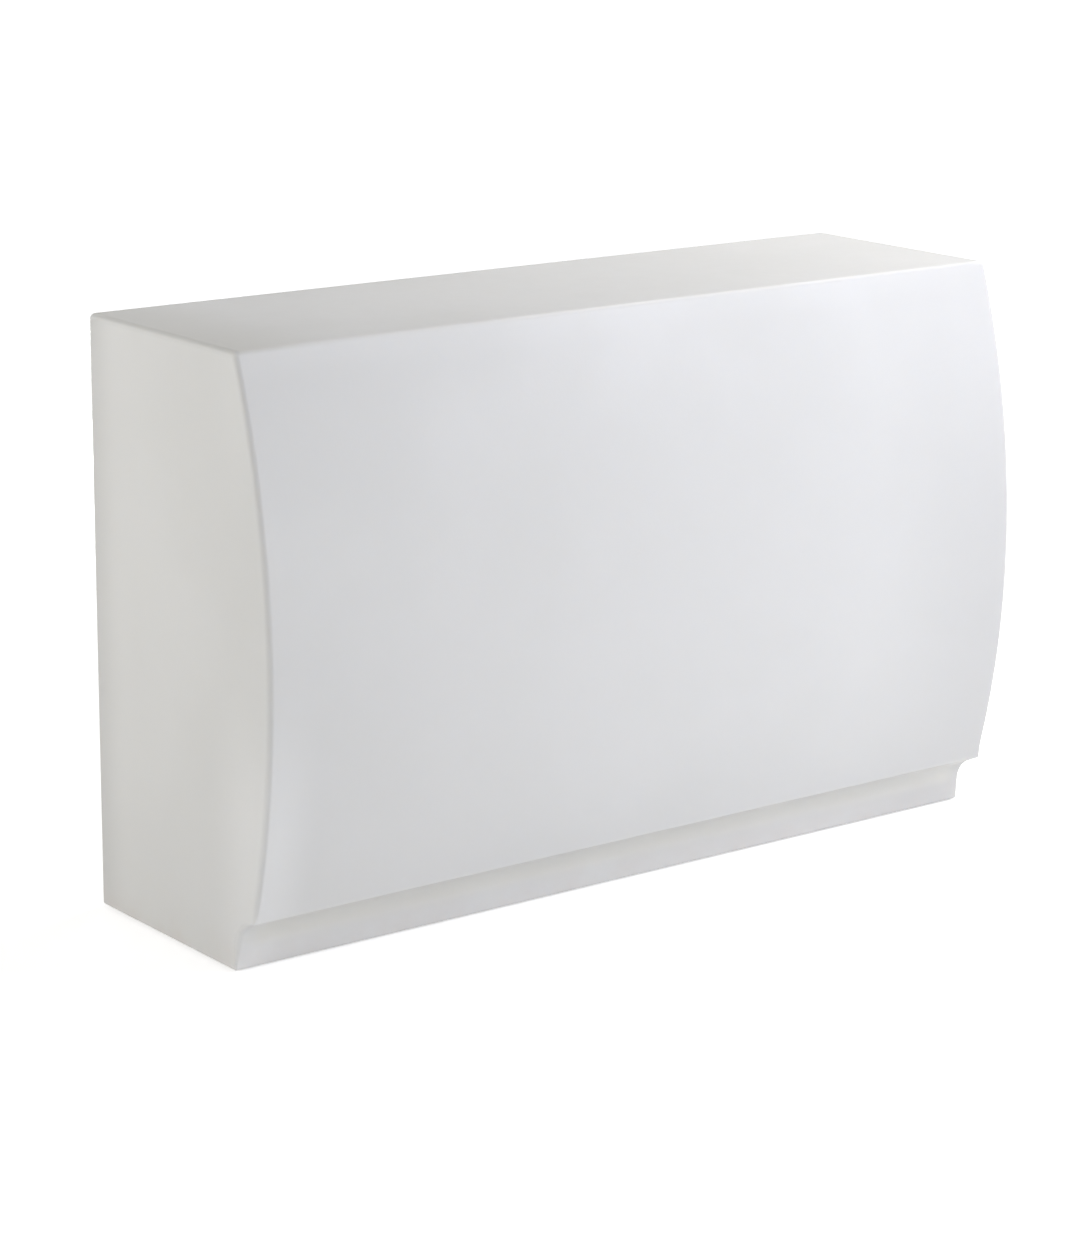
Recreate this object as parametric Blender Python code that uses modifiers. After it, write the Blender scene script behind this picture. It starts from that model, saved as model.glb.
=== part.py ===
"""Bar counter: a hollow polyethylene body with a bowed front, an open service bay and a light inside.

The body is one double-walled rotational moulding. Its guests' side is a bowed front over a coved plinth,
and its service side is a deep bay with moulded runners, on which two folded steel shelves slide.
A hatch in the bay's back wall carries the light unit in the hollow, and six levelling feet screw
into the base.

Everything is in metres with +Z up. The origin is on the floor, under the middle of the counter;
the bowed front faces -Y and the service bay faces +Y.
"""

import math

import bmesh
import bpy
from mathutils import Matrix, Vector

# Counter body: the side view's driving sizes, each depth measured from the back plane
LENGTH = 1.800
HEIGHT = 1.150
DEPTH = 0.600
TOP_DEPTH = 0.500
LEDGE_DEPTH = 0.536
PLINTH_DEPTH = 0.472
LEDGE_HEIGHT = 0.109
LEDGE_SLOPE = math.radians(27)
PLINTH_LEAN = math.radians(9)
COVE_RADIUS = 0.060
BASE_LIFT = 0.003
WALL = 0.006
EDGE_RADIUS = 0.012
LEDGE_RADIUS = 0.004
BASE_RADIUS = 0.005
BOW_STEPS = 12
COVE_STEPS = 4
EDGE_STEPS = 3

# Service bay, open to the back
BAY_SIDE = 0.085
BAY_ROOF = 0.075
BAY_FLOOR = 0.110
BAY_DEPTH = 0.375
BAY_DRAFT = math.radians(1.5)
BAY_CORNER = 0.035
BAY_FILLET = 0.020
MOUTH_RADIUS = 0.010
MOUTH_TURN = math.radians(75)
MOUTH_STEPS = 2
CORNER_STEPS = 4

# Shelves and the moulded runners that carry them
LOWER_SHELF = 0.466
UPPER_SHELF = 0.814
RUNNER_WIDTH = 0.022
RUNNER_HEIGHT = 0.040
RUNNER_TOE = 0.004
RUNNER_SETBACK = 0.030
RUNNER_ROUND = 0.008
SHELF_SHEET = 0.0015
SHELF_CLEARANCE = 0.003
SHELF_UPSTAND = 0.025
SHELF_NOSE_DROP = 0.004
SHELF_HEM = 0.010
SHELF_BEND = 0.003
SHELF_SCREW_DROP = 0.013
SHELF_SCREW_INSET = 0.011

# Screws: M5 button heads that cut their own thread in the moulded bosses and runners
SCREW_RADIUS = 0.0025
SCREW_HEAD_RADIUS = 0.00475
SCREW_HEAD_HEIGHT = 0.0028
SCREW_SOCKET = 0.0030
SCREW_SOCKET_DEPTH = 0.0016
SCREW_HOLE_RADIUS = 0.0032
SHELF_SCREW_LENGTH = 0.012
HATCH_SCREW_LENGTH = 0.020

# Light hatch in the bay's back wall
HATCH_END = 0.250
HATCH_LENGTH = LENGTH - 2 * HATCH_END
HATCH_HEIGHT = 0.150
HATCH_CORNER = 0.020
HATCH_LAP = 0.030
HATCH_SHEET = 0.005
GASKET_THICKNESS = 0.002
GASKET_INSET = 0.004
SCREW_LINE = 0.0150
HATCH_COLUMNS = 4
HATCH_SCREW_SPAN = HATCH_LENGTH - 0.040
BOSS_WALL = 0.0055
BOSS_FLOOR = 0.004

# Light unit behind the hatch
TRAY_GAP = 0.030
TRAY_LENGTH = HATCH_LENGTH - 2 * TRAY_GAP
TRAY_WIDTH = 0.090
TRAY_DEPTH = 0.045
TRAY_LIP = 0.018
TRAY_SHEET = 0.0015
TRAY_BEND = 0.002
RIVET_RADIUS = 0.0024
RIVET_HEAD_RADIUS = 0.0045
RIVET_HEAD_HEIGHT = 0.0013
RIVET_TAIL_RADIUS = 0.0036
RIVET_TAIL_HEIGHT = 0.0020
RIVET_END_INSET = 0.110
MODULES = 4
MODULE_END = 0.038
MODULE_WIDTH = 0.024
MODULE_SHEET = 0.0016
MODULE_GAP = 0.008
MODULE_LENGTH = (TRAY_LENGTH - 2 * MODULE_END - (MODULES - 1) * MODULE_GAP) / MODULES
MODULE_OFFSET = 0.026
CHIPS = 6
CHIP_SIDE = 0.0050
CHIP_HEIGHT = 0.0012
DRIVER_X = 0.120
DRIVER_LENGTH = 0.200
DRIVER_WIDTH = 0.042
DRIVER_HEIGHT = 0.028
DRIVER_EDGE = 0.003
DRIVER_FLANGE = 0.016
DRIVER_FLANGE_SHEET = 0.0025
DRIVER_SCREW_LENGTH = 0.009
BLOCK_X = -0.140
BLOCK_POLES = 3
BLOCK_PITCH = 0.010
BLOCK_WIDTH = 0.022
BLOCK_HEIGHT = 0.018
BLOCK_BARREL_RADIUS = 0.0042
BLOCK_BARREL_SHARE = 0.8
LEAD_RADIUS = 0.0030
LEAD_BEND = 0.007
GROMMET_X = 0.290
GROMMET_RADIUS = 0.0070
GROMMET_FLANGE_RADIUS = 0.0090
GROMMET_FLANGE = 0.0015

# Cable gland in the hatch cover
GLAND_X = -0.300
GLAND_THREAD_RADIUS = 0.0100
GLAND_HEX = 0.024
GLAND_HEX_HEIGHT = 0.006
GLAND_COLLAR_RADIUS = 0.0095
GLAND_COLLAR_HEIGHT = 0.008
GLAND_THREAD_LENGTH = 0.014
GLAND_BORE_RADIUS = 0.0060
DOME_HEX = 0.024
DOME_SKIRT = 0.009
DOME_HEIGHT = 0.016
DOME_MOUTH_RADIUS = 0.0065
DOME_WALL = 0.0018
SEAL_BORE_RADIUS = 0.0035
SEAL_RADIUS = 0.0085
SEAL_HEIGHT = 0.0040
LOCKNUT_HEX = 0.027
LOCKNUT_HEIGHT = 0.005

# Levelling feet, in pockets in the base
FOOT_END_INSET = 0.085
FOOT_INSET = 0.070
POCKET_RADIUS = 0.040
POCKET_DEPTH = 0.031
PAD_RADIUS = 0.030
PAD_RIM = 0.006
PAD_HEIGHT = 0.0185
PAD_TOP_RADIUS = 0.0110
PAD_CHAMFER = 0.0010
BALL_RADIUS = 0.0062
BALL_HEIGHT = 0.0125
BALL_NECK_RADIUS = 0.0040
SOCKET_LATITUDE = math.radians(45)
STEM_RADIUS = 0.005
STEM_LENGTH = 0.044
STEM_HEX = 0.014
STEM_HEX_HEIGHT = 0.006
STEM_CHAMFER = 0.001
FOOT_INSERT_RADIUS = 0.009
FOOT_INSERT_LENGTH = 0.036
FOOT_FLANGE_RADIUS = 0.014
FOOT_FLANGE = 0.0015
FOOT_BOSS_WALL = 0.007

# Vent plug in the base, which lets the hollow breathe
VENT_X = 0.260
VENT_INSET = 0.200
VENT_RADIUS = 0.009
VENT_FLANGE_RADIUS = 0.013
VENT_FLANGE = 0.002
VENT_LENGTH = 0.016
VENT_BORE_RADIUS = 0.003

# Sides of the round pieces and of the holes that they fit, and the angle past which an edge stays crisp
SCREW_SIDES = 12
TURNED_SIDES = 16
PAD_SIDES = 16
CRISP_EDGE = math.radians(35)

# The turn that stands a piece made along Z out of the bay's back wall
FACING_BACK = (-math.pi / 2, 0, 0)

# Fits: the gap left where pieces touch, the play where they turn, and a cutter's overrun
SEAT = 0.0003
RUNNING = 0.0004
OVERCUT = 0.010

# Places worked out from the sizes above
BACK_Y = DEPTH / 2
END_X = LENGTH / 2
LEDGE_Y = BACK_Y - LEDGE_DEPTH
PLINTH_Y = BACK_Y - PLINTH_DEPTH
BAY_INNER_Y = BACK_Y - BAY_DEPTH
BAY_LOW = BAY_FLOOR
BAY_HIGH = HEIGHT - BAY_ROOF
BAY_TAPER = math.tan(BAY_DRAFT)
BAY_INNER_HALF = END_X - BAY_SIDE - BAY_DEPTH * BAY_TAPER
HATCH_Z = (LOWER_SHELF + UPPER_SHELF - RUNNER_HEIGHT) / 2
COVER_Y = BAY_INNER_Y + SEAT + GASKET_THICKNESS + SEAT
COVER_FACE_Y = COVER_Y + HATCH_SHEET
TRAY_WEB_Y = COVER_Y - SEAT - TRAY_DEPTH
POCKET_ROOF = BASE_LIFT + POCKET_DEPTH
FOOT_INSERT_TOP = POCKET_ROOF + FOOT_INSERT_LENGTH
STEM_HEX_LOW = PAD_HEIGHT + STEM_CHAMFER
STEM_THREAD_LOW = STEM_HEX_LOW + STEM_HEX_HEIGHT
STEM_TOP = STEM_THREAD_LOW + STEM_LENGTH
FOOT_BORE_TOP = max(FOOT_INSERT_TOP, STEM_TOP) + STEM_CHAMFER
FOOT_BOSS_TOP = FOOT_BORE_TOP + FOOT_BOSS_WALL


# Scene, collections and finishes

for leftover in list(bpy.data.objects):
    bpy.data.objects.remove(leftover)


def new_collection(name):
    collection = bpy.data.collections.new(name)
    bpy.context.scene.collection.children.link(collection)
    return collection


COUNTER = new_collection("Bar counter")
CUTTERS = new_collection("Cutters")


def finish(name, colour, roughness, metallic=0.0):
    material = bpy.data.materials.new(name)
    material.use_nodes = True
    shader = material.node_tree.nodes["Principled BSDF"]
    shader.inputs["Base Color"].default_value = (*colour, 1.0)
    shader.inputs["Roughness"].default_value = roughness
    shader.inputs["Metallic"].default_value = metallic
    material.diffuse_color = (*colour, 1.0)
    return material


OPAL_WHITE = finish("Opal polyethylene", (0.80, 0.80, 0.78), 0.48)
STEEL = finish("Brushed stainless steel", (0.62, 0.62, 0.61), 0.30, 1.0)
ZINC = finish("Zinc-plated steel", (0.55, 0.56, 0.58), 0.35, 1.0)
ALUMINIUM = finish("Aluminium sheet", (0.75, 0.76, 0.77), 0.40, 1.0)
WHITE_BOARD = finish("White laminate", (0.78, 0.78, 0.77), 0.35)
BLACK_RUBBER = finish("Black rubber", (0.03, 0.03, 0.03), 0.80)
BLACK_NYLON = finish("Black polyamide", (0.04, 0.04, 0.045), 0.50)
GREY_NYLON = finish("Grey polyamide", (0.45, 0.46, 0.47), 0.50)
DRIVER_WHITE = finish("White driver housing", (0.72, 0.72, 0.70), 0.45)
MODULE_WHITE = finish("White circuit board", (0.80, 0.80, 0.76), 0.40)


# Modelling helpers


def add_object(name, data, material=None, location=(0, 0, 0), rotation=(0, 0, 0), parent=None):
    """Links a piece to the counter's collection, placed by its location and rotation."""
    obj = bpy.data.objects.new(name, data)
    obj.location = location
    obj.rotation_euler = rotation
    obj.parent = parent
    if material:
        data.materials.clear()
        data.materials.append(material)
    COUNTER.objects.link(obj)
    return obj


def make_cutter(obj):
    """Turns an object into a helper that cuts others and is left out of the render."""
    for collection in list(obj.users_collection):
        collection.objects.unlink(obj)
    CUTTERS.objects.link(obj)
    obj.hide_render = True
    obj.display_type = "WIRE"
    return obj


def mesh_from(name, build):
    """A mesh that the function build fills through bmesh, with its faces turned outwards."""
    mesh = bpy.data.meshes.new(name)
    bm = bmesh.new()
    build(bm)
    bmesh.ops.recalc_face_normals(bm, faces=bm.faces)
    bm.to_mesh(mesh)
    bm.free()
    return mesh


def box_mesh(name, low, high):
    centre = [(a + b) / 2 for a, b in zip(low, high)]
    size = [b - a for a, b in zip(low, high)]
    matrix = Matrix.Translation(centre) @ Matrix.Diagonal((*size, 1.0))
    return mesh_from(name, lambda bm: bmesh.ops.create_cube(bm, size=1.0, matrix=matrix))


def rod_mesh(name, radius, start, end, sides, axis="Z"):
    """A cylinder, or with six sides a hexagon bar, from start to end along an axis."""
    turn = {"X": Matrix.Rotation(math.pi / 2, 4, "Y"), "Y": Matrix.Rotation(-math.pi / 2, 4, "X")}
    half = Matrix.Translation((0, 0, (start + end) / 2))
    matrix = turn.get(axis, Matrix.Identity(4)) @ half

    def build(bm):
        bmesh.ops.create_cone(
            bm,
            cap_ends=True,
            segments=sides,
            radius1=radius,
            radius2=radius,
            depth=abs(end - start),
            matrix=matrix,
        )

    return mesh_from(name, build)


def hexagon_radius(across_flats):
    return across_flats / math.sqrt(3)


def cut(obj, *cutters):
    """Takes each cutter away from the object with a Boolean."""
    for cutter in cutters:
        modifier = obj.modifiers.new("Cut by " + cutter.name, "BOOLEAN")
        modifier.operation = "DIFFERENCE"
        modifier.object = cutter
    return obj


def join(obj, *others):
    for other in others:
        modifier = obj.modifiers.new("Join " + other.name, "BOOLEAN")
        modifier.operation = "UNION"
        modifier.object = other
    return obj


def finished_mesh(obj, *helpers):
    """The object's mesh with its modifiers applied. The object and its helpers are removed."""
    bpy.context.view_layer.update()
    graph = bpy.context.evaluated_depsgraph_get()
    mesh = bpy.data.meshes.new_from_object(obj.evaluated_get(graph))
    for used in (obj, *helpers):
        bpy.data.objects.remove(used)
    return mesh


def turned_mesh(name, profile, steps, closed=False):
    """A shape turned about Z from (radius, height) points that run down its outer side."""
    mesh = bpy.data.meshes.new(name)
    links = [(i, i + 1) for i in range(len(profile) - 1)]
    if closed:
        links.append((len(profile) - 1, 0))
    mesh.from_pydata([(r, 0, z) for r, z in profile], links, [])
    obj = add_object(name, mesh)
    screw = obj.modifiers.new("Turn", "SCREW")
    screw.steps = steps
    screw.render_steps = steps
    screw.use_merge_vertices = True
    screw.merge_threshold = 0.00001
    result = finished_mesh(obj)
    bm = bmesh.new()
    bm.from_mesh(result)
    bmesh.ops.remove_doubles(bm, verts=bm.verts, dist=0.00001)
    bmesh.ops.recalc_face_normals(bm, faces=bm.faces)
    bm.to_mesh(result)
    bm.free()
    return result


def arc(centre, radius, start, end, steps):
    """Points on an arc in a plane, from one angle to another."""
    angles = [start + (end - start) * i / steps for i in range(steps + 1)]
    return [(centre[0] + radius * math.cos(a), centre[1] + radius * math.sin(a)) for a in angles]


def rounded_corner(before, corner, after, radius, steps):
    """The arc that rounds the corner between two straight lines, in a plane or in space."""
    corner = Vector(corner)
    one = (Vector(before) - corner).normalized()
    two = (Vector(after) - corner).normalized()
    half_angle = one.angle(two) / 2
    centre = corner + (one + two).normalized() * radius / math.sin(half_angle)
    first = corner + one * radius / math.tan(half_angle) - centre
    last = corner + two * radius / math.tan(half_angle) - centre
    turns = [first.slerp(last, i / steps) for i in range(steps + 1)]
    return [tuple(centre + turn.normalized() * radius) for turn in turns]


def rounded_rectangle(width, height, radius, steps, centre=(0, 0)):
    """The outline of a rectangle with round corners, anticlockwise."""
    points = []
    for quarter, (sx, sy) in enumerate(((1, 1), (-1, 1), (-1, -1), (1, -1))):
        middle = (centre[0] + sx * (width / 2 - radius), centre[1] + sy * (height / 2 - radius))
        start = quarter * math.pi / 2
        points += arc(middle, radius, start, start + math.pi / 2, steps)
    return points


def circle(centre, radius, sides):
    return arc(centre, radius, 0, 2 * math.pi * (1 - 1 / sides), sides - 1)


def loft_mesh(name, rings):
    """A closed solid through rings of points, each ring with the same number of points."""

    def build(bm):
        loops = [[bm.verts.new(p) for p in ring] for ring in rings]
        count = len(loops[0])
        for low, high in zip(loops, loops[1:]):
            for i in range(count):
                j = (i + 1) % count
                bm.faces.new((low[i], low[j], high[j], high[i]))
        bm.faces.new(loops[0])
        bm.faces.new(loops[-1])

    return mesh_from(name, build)


def plate(name, outlines, thickness, material, location, rotation):
    """A flat piece with holes: nested outlines in a 2D curve that is extruded to its thickness."""
    curve = bpy.data.curves.new(name, "CURVE")
    curve.dimensions = "2D"
    curve.fill_mode = "BOTH"
    curve.extrude = thickness / 2
    for outline in outlines:
        spline = curve.splines.new("POLY")
        spline.points.add(len(outline) - 1)
        for point, (x, y) in zip(spline.points, outline):
            point.co = (x, y, 0, 1)
        spline.use_cyclic_u = True
    return add_object(name, curve, material, location, rotation)


def folded_sheet(name, profile, length, thickness, material, location=(0, 0, 0)):
    """Sheet metal folded along X: a strip through the (y, z) points, thickened with Solidify."""

    def build(bm):
        rails = [[bm.verts.new((x, y, z)) for y, z in profile] for x in (-length / 2, length / 2)]
        left, right = rails
        for i in range(len(profile) - 1):
            bm.faces.new((left[i], right[i], right[i + 1], left[i + 1]))

    mesh = bpy.data.meshes.new(name)
    bm = bmesh.new()
    build(bm)
    bm.to_mesh(mesh)
    bm.free()
    obj = add_object(name, mesh, material, location)
    solidify = obj.modifiers.new("Sheet", "SOLIDIFY")
    solidify.thickness = thickness
    solidify.offset = -1
    solidify.use_even_offset = True
    return obj


# Counter body


def front_bow():
    """The bowed front from the ledge up: one circle through both edges that reaches the full depth."""
    rise = HEIGHT - LEDGE_HEIGHT
    top_gap = DEPTH - TOP_DEPTH
    ledge_gap = DEPTH - LEDGE_DEPTH
    free = rise**2 - ledge_gap * top_gap + ledge_gap**2
    above = free / (rise + math.sqrt(rise**2 - (1 - ledge_gap / top_gap) * free))
    radius = (above**2 + top_gap**2) / (2 * top_gap)
    centre = (radius - DEPTH / 2, HEIGHT - above)
    low = math.pi + math.asin((rise - above) / radius)
    high = math.pi - math.asin(above / radius)
    return arc(centre, radius, low, high, BOW_STEPS)


def cove():
    """The hollow curve that joins the sloping underside of the ledge to the leaning plinth."""
    foot = Vector((PLINTH_Y, BASE_LIFT))
    ledge = Vector((LEDGE_Y, LEDGE_HEIGHT))
    up = Vector((-math.sin(PLINTH_LEAN), math.cos(PLINTH_LEAN)))
    inward = Vector((math.cos(LEDGE_SLOPE), -math.sin(LEDGE_SLOPE)))
    reach = (ledge - foot).cross(inward) / up.cross(inward)
    return rounded_corner(foot, foot + up * reach, ledge, COVE_RADIUS, COVE_STEPS)


def side_outline():
    """The side view as (y, z, edge radius, end radius): the second rounds the edge round each end."""
    bow = front_bow()
    outline = [(BACK_Y, BASE_LIFT, BASE_RADIUS, BASE_RADIUS)]
    outline.append((PLINTH_Y, BASE_LIFT, BASE_RADIUS, EDGE_RADIUS))
    outline += [(y, z, 0, EDGE_RADIUS) for y, z in cove()]
    outline.append((*bow[0], LEDGE_RADIUS, EDGE_RADIUS))
    outline += [(y, z, 0, EDGE_RADIUS) for y, z in bow[1:-1]]
    outline.append((*bow[-1], EDGE_RADIUS, EDGE_RADIUS))
    outline.append((BACK_Y, HEIGHT, EDGE_RADIUS, EDGE_RADIUS))
    return outline


def inset_outline(outline, distance):
    """The outline moved inwards by a distance, with its radii made smaller by the same amount."""
    moved = []
    for i, (y, z, edge_radius, end_radius) in enumerate(outline):
        here = Vector((y, z))
        before = (here - Vector(outline[i - 1][:2])).normalized()
        after = (Vector(outline[(i + 1) % len(outline)][:2]) - here).normalized()
        normal_before = Vector((before.y, -before.x))
        normal_after = Vector((after.y, -after.x))
        shift = (normal_before + normal_after) / (1 + normal_before.dot(normal_after))
        radii = (max(edge_radius - distance, 0), max(end_radius - distance, 0))
        moved.append((*(here + shift * distance), *radii))
    return moved


def body_form(name, outline, length, steps):
    """The side view drawn out along X, with each edge rounded by its own radius."""
    widest = max(max(edge_radius, end_radius) for _, _, edge_radius, end_radius in outline)
    mesh = bpy.data.meshes.new(name)
    bm = bmesh.new()
    weight = bm.edges.layers.float.new("bevel_weight_edge")
    ends = []
    for x in (-length / 2, length / 2):
        ends.append([bm.verts.new((x, y, z)) for y, z, _, _ in outline])
    bm.faces.new(ends[0])
    bm.faces.new(reversed(ends[1]))
    count = len(outline)
    for i, (_, _, edge_radius, end_radius) in enumerate(outline):
        j = (i + 1) % count
        bm.faces.new((ends[0][i], ends[0][j], ends[1][j], ends[1][i]))
        bm.edges.get((ends[0][i], ends[1][i]))[weight] = edge_radius / widest
        for end in ends:
            bm.edges.get((end[i], end[j]))[weight] = end_radius / widest
    bmesh.ops.recalc_face_normals(bm, faces=bm.faces)
    bm.to_mesh(mesh)
    bm.free()
    obj = add_object(name, mesh)
    bevel = obj.modifiers.new("Rounded edges", "BEVEL")
    bevel.limit_method = "WEIGHT"
    bevel.width = widest
    bevel.segments = steps
    return obj


def bay_ring(y, grow):
    """The bay's section at one depth, grown by an amount on every side."""
    inset = (BACK_Y - y) * BAY_TAPER - grow
    width = LENGTH - 2 * (BAY_SIDE + inset)
    height = BAY_HIGH - BAY_LOW - 2 * inset
    corner = max(BAY_CORNER + grow, WALL)
    outline = rounded_rectangle(width, height, corner, CORNER_STEPS, (0, (BAY_LOW + BAY_HIGH) / 2))
    return [(x, y, z) for x, z in outline]


def bay_form(name, grow):
    """The bay as a solid: a fillet at the back wall, drafted sides and a rolled mouth."""
    rings = []
    for i in range(CORNER_STEPS + 1):
        angle = math.pi / 2 * i / CORNER_STEPS
        y = BAY_INNER_Y + BAY_FILLET - (BAY_FILLET + grow) * math.cos(angle)
        rings.append(bay_ring(y, (BAY_FILLET + grow) * math.sin(angle) - BAY_FILLET))
    for i in range(MOUTH_STEPS + 1):
        angle = MOUTH_TURN * i / MOUTH_STEPS
        y = BACK_Y - MOUTH_RADIUS + (MOUTH_RADIUS - grow) * math.sin(angle)
        rings.append(bay_ring(y, MOUTH_RADIUS - (MOUTH_RADIUS - grow) * math.cos(angle)))
    flare = OVERCUT * math.tan(MOUTH_TURN)
    rings.append(bay_ring(BACK_Y + OVERCUT, MOUTH_RADIUS + flare))
    return add_object(name, loft_mesh(name, rings))


def runner_form(name, level, grow):
    """The ridge round three sides of the bay that a shelf rests on, shrunk by the amount grow."""
    low, high = level - RUNNER_HEIGHT + grow, level - grow
    front, back = BAY_INNER_Y - BAY_FILLET, BACK_Y - RUNNER_SETBACK - grow
    nose = max(RUNNER_ROUND - grow, SEAT)
    outline = [(front, high), (front, low)]
    outline += rounded_corner((front, low), (back, low), (back, high), nose, 2)
    outline += rounded_corner((back, low), (back, high), (front, high), nose, 2)
    bar = [[(x, y, z) for y, z in outline] for x in (-END_X, END_X)]
    ridge = add_object(name, loft_mesh(name, bar))
    rings = []
    slope = (RUNNER_WIDTH - RUNNER_TOE) / RUNNER_HEIGHT
    for z in (low - OVERCUT, high + OVERCUT):
        reach = RUNNER_WIDTH - slope * (level - z) - grow
        near = BAY_INNER_Y + reach
        far = BACK_Y + OVERCUT
        outline = rounded_rectangle(
            2 * (BAY_INNER_HALF - reach), far - near, BAY_FILLET, CORNER_STEPS, (0, (near + far) / 2)
        )
        rings.append([(x, y, z) for x, y in outline])
    hole = make_cutter(add_object(name + " opening", loft_mesh(name + " opening", rings)))
    cut(ridge, hole)
    return make_cutter(ridge)


def bay_with_runners(name, grow):
    bay = make_cutter(bay_form(name, grow))
    for label, level in (("lower", LOWER_SHELF), ("upper", UPPER_SHELF)):
        cut(bay, runner_form(f"{name} {label} runner", level, grow))
    return bay


def foot_places():
    """The feet's names and places: three along the plinth and three along the back."""
    columns = {"left": -END_X + FOOT_END_INSET, "middle": 0.0, "right": END_X - FOOT_END_INSET}
    rows = {"front": PLINTH_Y + FOOT_INSET, "rear": BACK_Y - FOOT_INSET}
    return {f"{row}_{column}": (x, y) for row, y in rows.items() for column, x in columns.items()}


def hatch_screw_places():
    """The hatch screws' places in the back wall: a row above the opening and a row below it."""
    places = []
    for side in (-1, 1):
        for i in range(HATCH_COLUMNS):
            x = HATCH_SCREW_SPAN * (i / (HATCH_COLUMNS - 1) - 0.5)
            places.append((x, BAY_INNER_Y, HATCH_Z + side * (HATCH_HEIGHT / 2 + SCREW_LINE)))
    return places


def shelf_screw_places(level):
    """One screw through the shelf's nose into the end of each side runner."""
    x = END_X - BAY_SIDE - RUNNER_SETBACK * BAY_TAPER - SHELF_SCREW_INSET
    return [(side * x, BACK_Y - RUNNER_SETBACK, level - SHELF_SCREW_DROP) for side in (-1, 1)]


def rivet_places():
    """The tray's rivets in the hatch cover, one near each of its corners."""
    reach = TRAY_WIDTH / 2 + TRAY_LIP / 2
    x = TRAY_LENGTH / 2 - RIVET_END_INSET
    return [(sx * x, COVER_FACE_Y, HATCH_Z + sz * reach) for sx in (-1, 1) for sz in (-1, 1)]


def rod_cutter(name, radius, start, end, location, axis="Z", sides=SCREW_SIDES):
    """A round cutter from start to end along an axis, measured from its location."""
    rod = add_object(name, rod_mesh(name, radius, start, end, sides, axis), location=location)
    return make_cutter(rod)


def make_shell():
    """The moulded body: the outer form, less the bay, less the hollow, less its openings."""
    outline = side_outline()
    hollow = make_cutter(body_form("hollow", inset_outline(outline, WALL), LENGTH - 2 * WALL, 1))
    cut(hollow, bay_with_runners("bay wall", WALL))
    openings = []
    for name, (x, y) in foot_places().items():
        place = (x, y, 0)
        boss = FOOT_INSERT_RADIUS + FOOT_BOSS_WALL
        bore = FOOT_INSERT_RADIUS + SEAT
        pocket_wall = POCKET_RADIUS + WALL
        cut(hollow, rod_cutter("pocket wall " + name, pocket_wall, 0, POCKET_ROOF + WALL, place))
        cut(hollow, rod_cutter("foot boss " + name, boss, POCKET_ROOF, FOOT_BOSS_TOP, place))
        pocket = ("pocket " + name, POCKET_RADIUS, -OVERCUT, POCKET_ROOF, place)
        openings.append(rod_cutter(*pocket, sides=PAD_SIDES))
        openings.append(rod_cutter("foot bore " + name, bore, BASE_LIFT, FOOT_BORE_TOP, place))

    grip = HATCH_SCREW_LENGTH - HATCH_SHEET - GASKET_THICKNESS
    for number, place in enumerate(hatch_screw_places(), 1):
        boss = SCREW_RADIUS + BOSS_WALL
        bore = SCREW_RADIUS + SEAT
        cut(hollow, rod_cutter(f"hatch boss {number}", boss, -WALL / 2, -grip - BOSS_FLOOR, place, "Y"))
        openings.append(rod_cutter(f"hatch bore {number}", bore, OVERCUT, -grip - SEAT, place, "Y"))

    for level in (LOWER_SHELF, UPPER_SHELF):
        for number, place in enumerate(shelf_screw_places(level), 1):
            depth = SHELF_SCREW_LENGTH - SHELF_SHEET
            boss = SCREW_RADIUS + BOSS_WALL
            bore = SCREW_RADIUS + SEAT
            name = f"{level} {number}"
            cut(hollow, rod_cutter("runner boss " + name, boss, -WALL / 2, -depth - BOSS_FLOOR, place, "Y"))
            openings.append(rod_cutter("runner bore " + name, bore, OVERCUT, -depth - SEAT, place, "Y"))

    openings.append(hatch_form("hatch opening", 0))
    vent = (VENT_X, BACK_Y - VENT_INSET, BASE_LIFT)
    openings.append(rod_cutter("vent hole", VENT_RADIUS + SEAT, -OVERCUT, WALL + OVERCUT, vent))
    shell = body_form("counter_shell", outline, LENGTH, EDGE_STEPS)
    shell.data.materials.append(OPAL_WHITE)
    cut(shell, bay_with_runners("bay", 0), hollow, *openings)
    return shell


def hatch_outline(grow):
    """The hatch opening's outline in the back wall, grown by an amount on every side."""
    width = HATCH_LENGTH + 2 * grow
    height = HATCH_HEIGHT + 2 * grow
    return rounded_rectangle(width, height, HATCH_CORNER + grow, CORNER_STEPS)


def hatch_form(name, grow):
    """The hatch opening as a solid that passes through the back wall."""
    rings = []
    for y in (BAY_INNER_Y - WALL - OVERCUT, BAY_INNER_Y + OVERCUT):
        rings.append([(x, y, HATCH_Z + z) for x, z in hatch_outline(grow)])
    return make_cutter(add_object(name, loft_mesh(name, rings)))


# Shelves


def folded_line(corners, radius, steps=2):
    """A line through corners, each inner one rounded by a bend radius."""
    points = [corners[0]]
    for before, corner, after in zip(corners, corners[1:], corners[2:]):
        points += rounded_corner(before, corner, after, radius, steps)
    return points + [corners[-1]]


def shelf_profile(level):
    """The shelf's underside in side view: hem, nose over the runner ends, floor and upstand."""
    nose = BACK_Y - RUNNER_SETBACK + SEAT
    wall = BAY_INNER_Y + SHELF_CLEARANCE + SHELF_SHEET
    floor = level + SEAT
    hem = level - RUNNER_HEIGHT - SHELF_NOSE_DROP
    corners = [
        (nose - SHELF_HEM, hem),
        (nose, hem),
        (nose, floor),
        (wall, floor),
        (wall, level + SHELF_UPSTAND),
    ]
    return folded_line(corners, SHELF_BEND)


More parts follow.
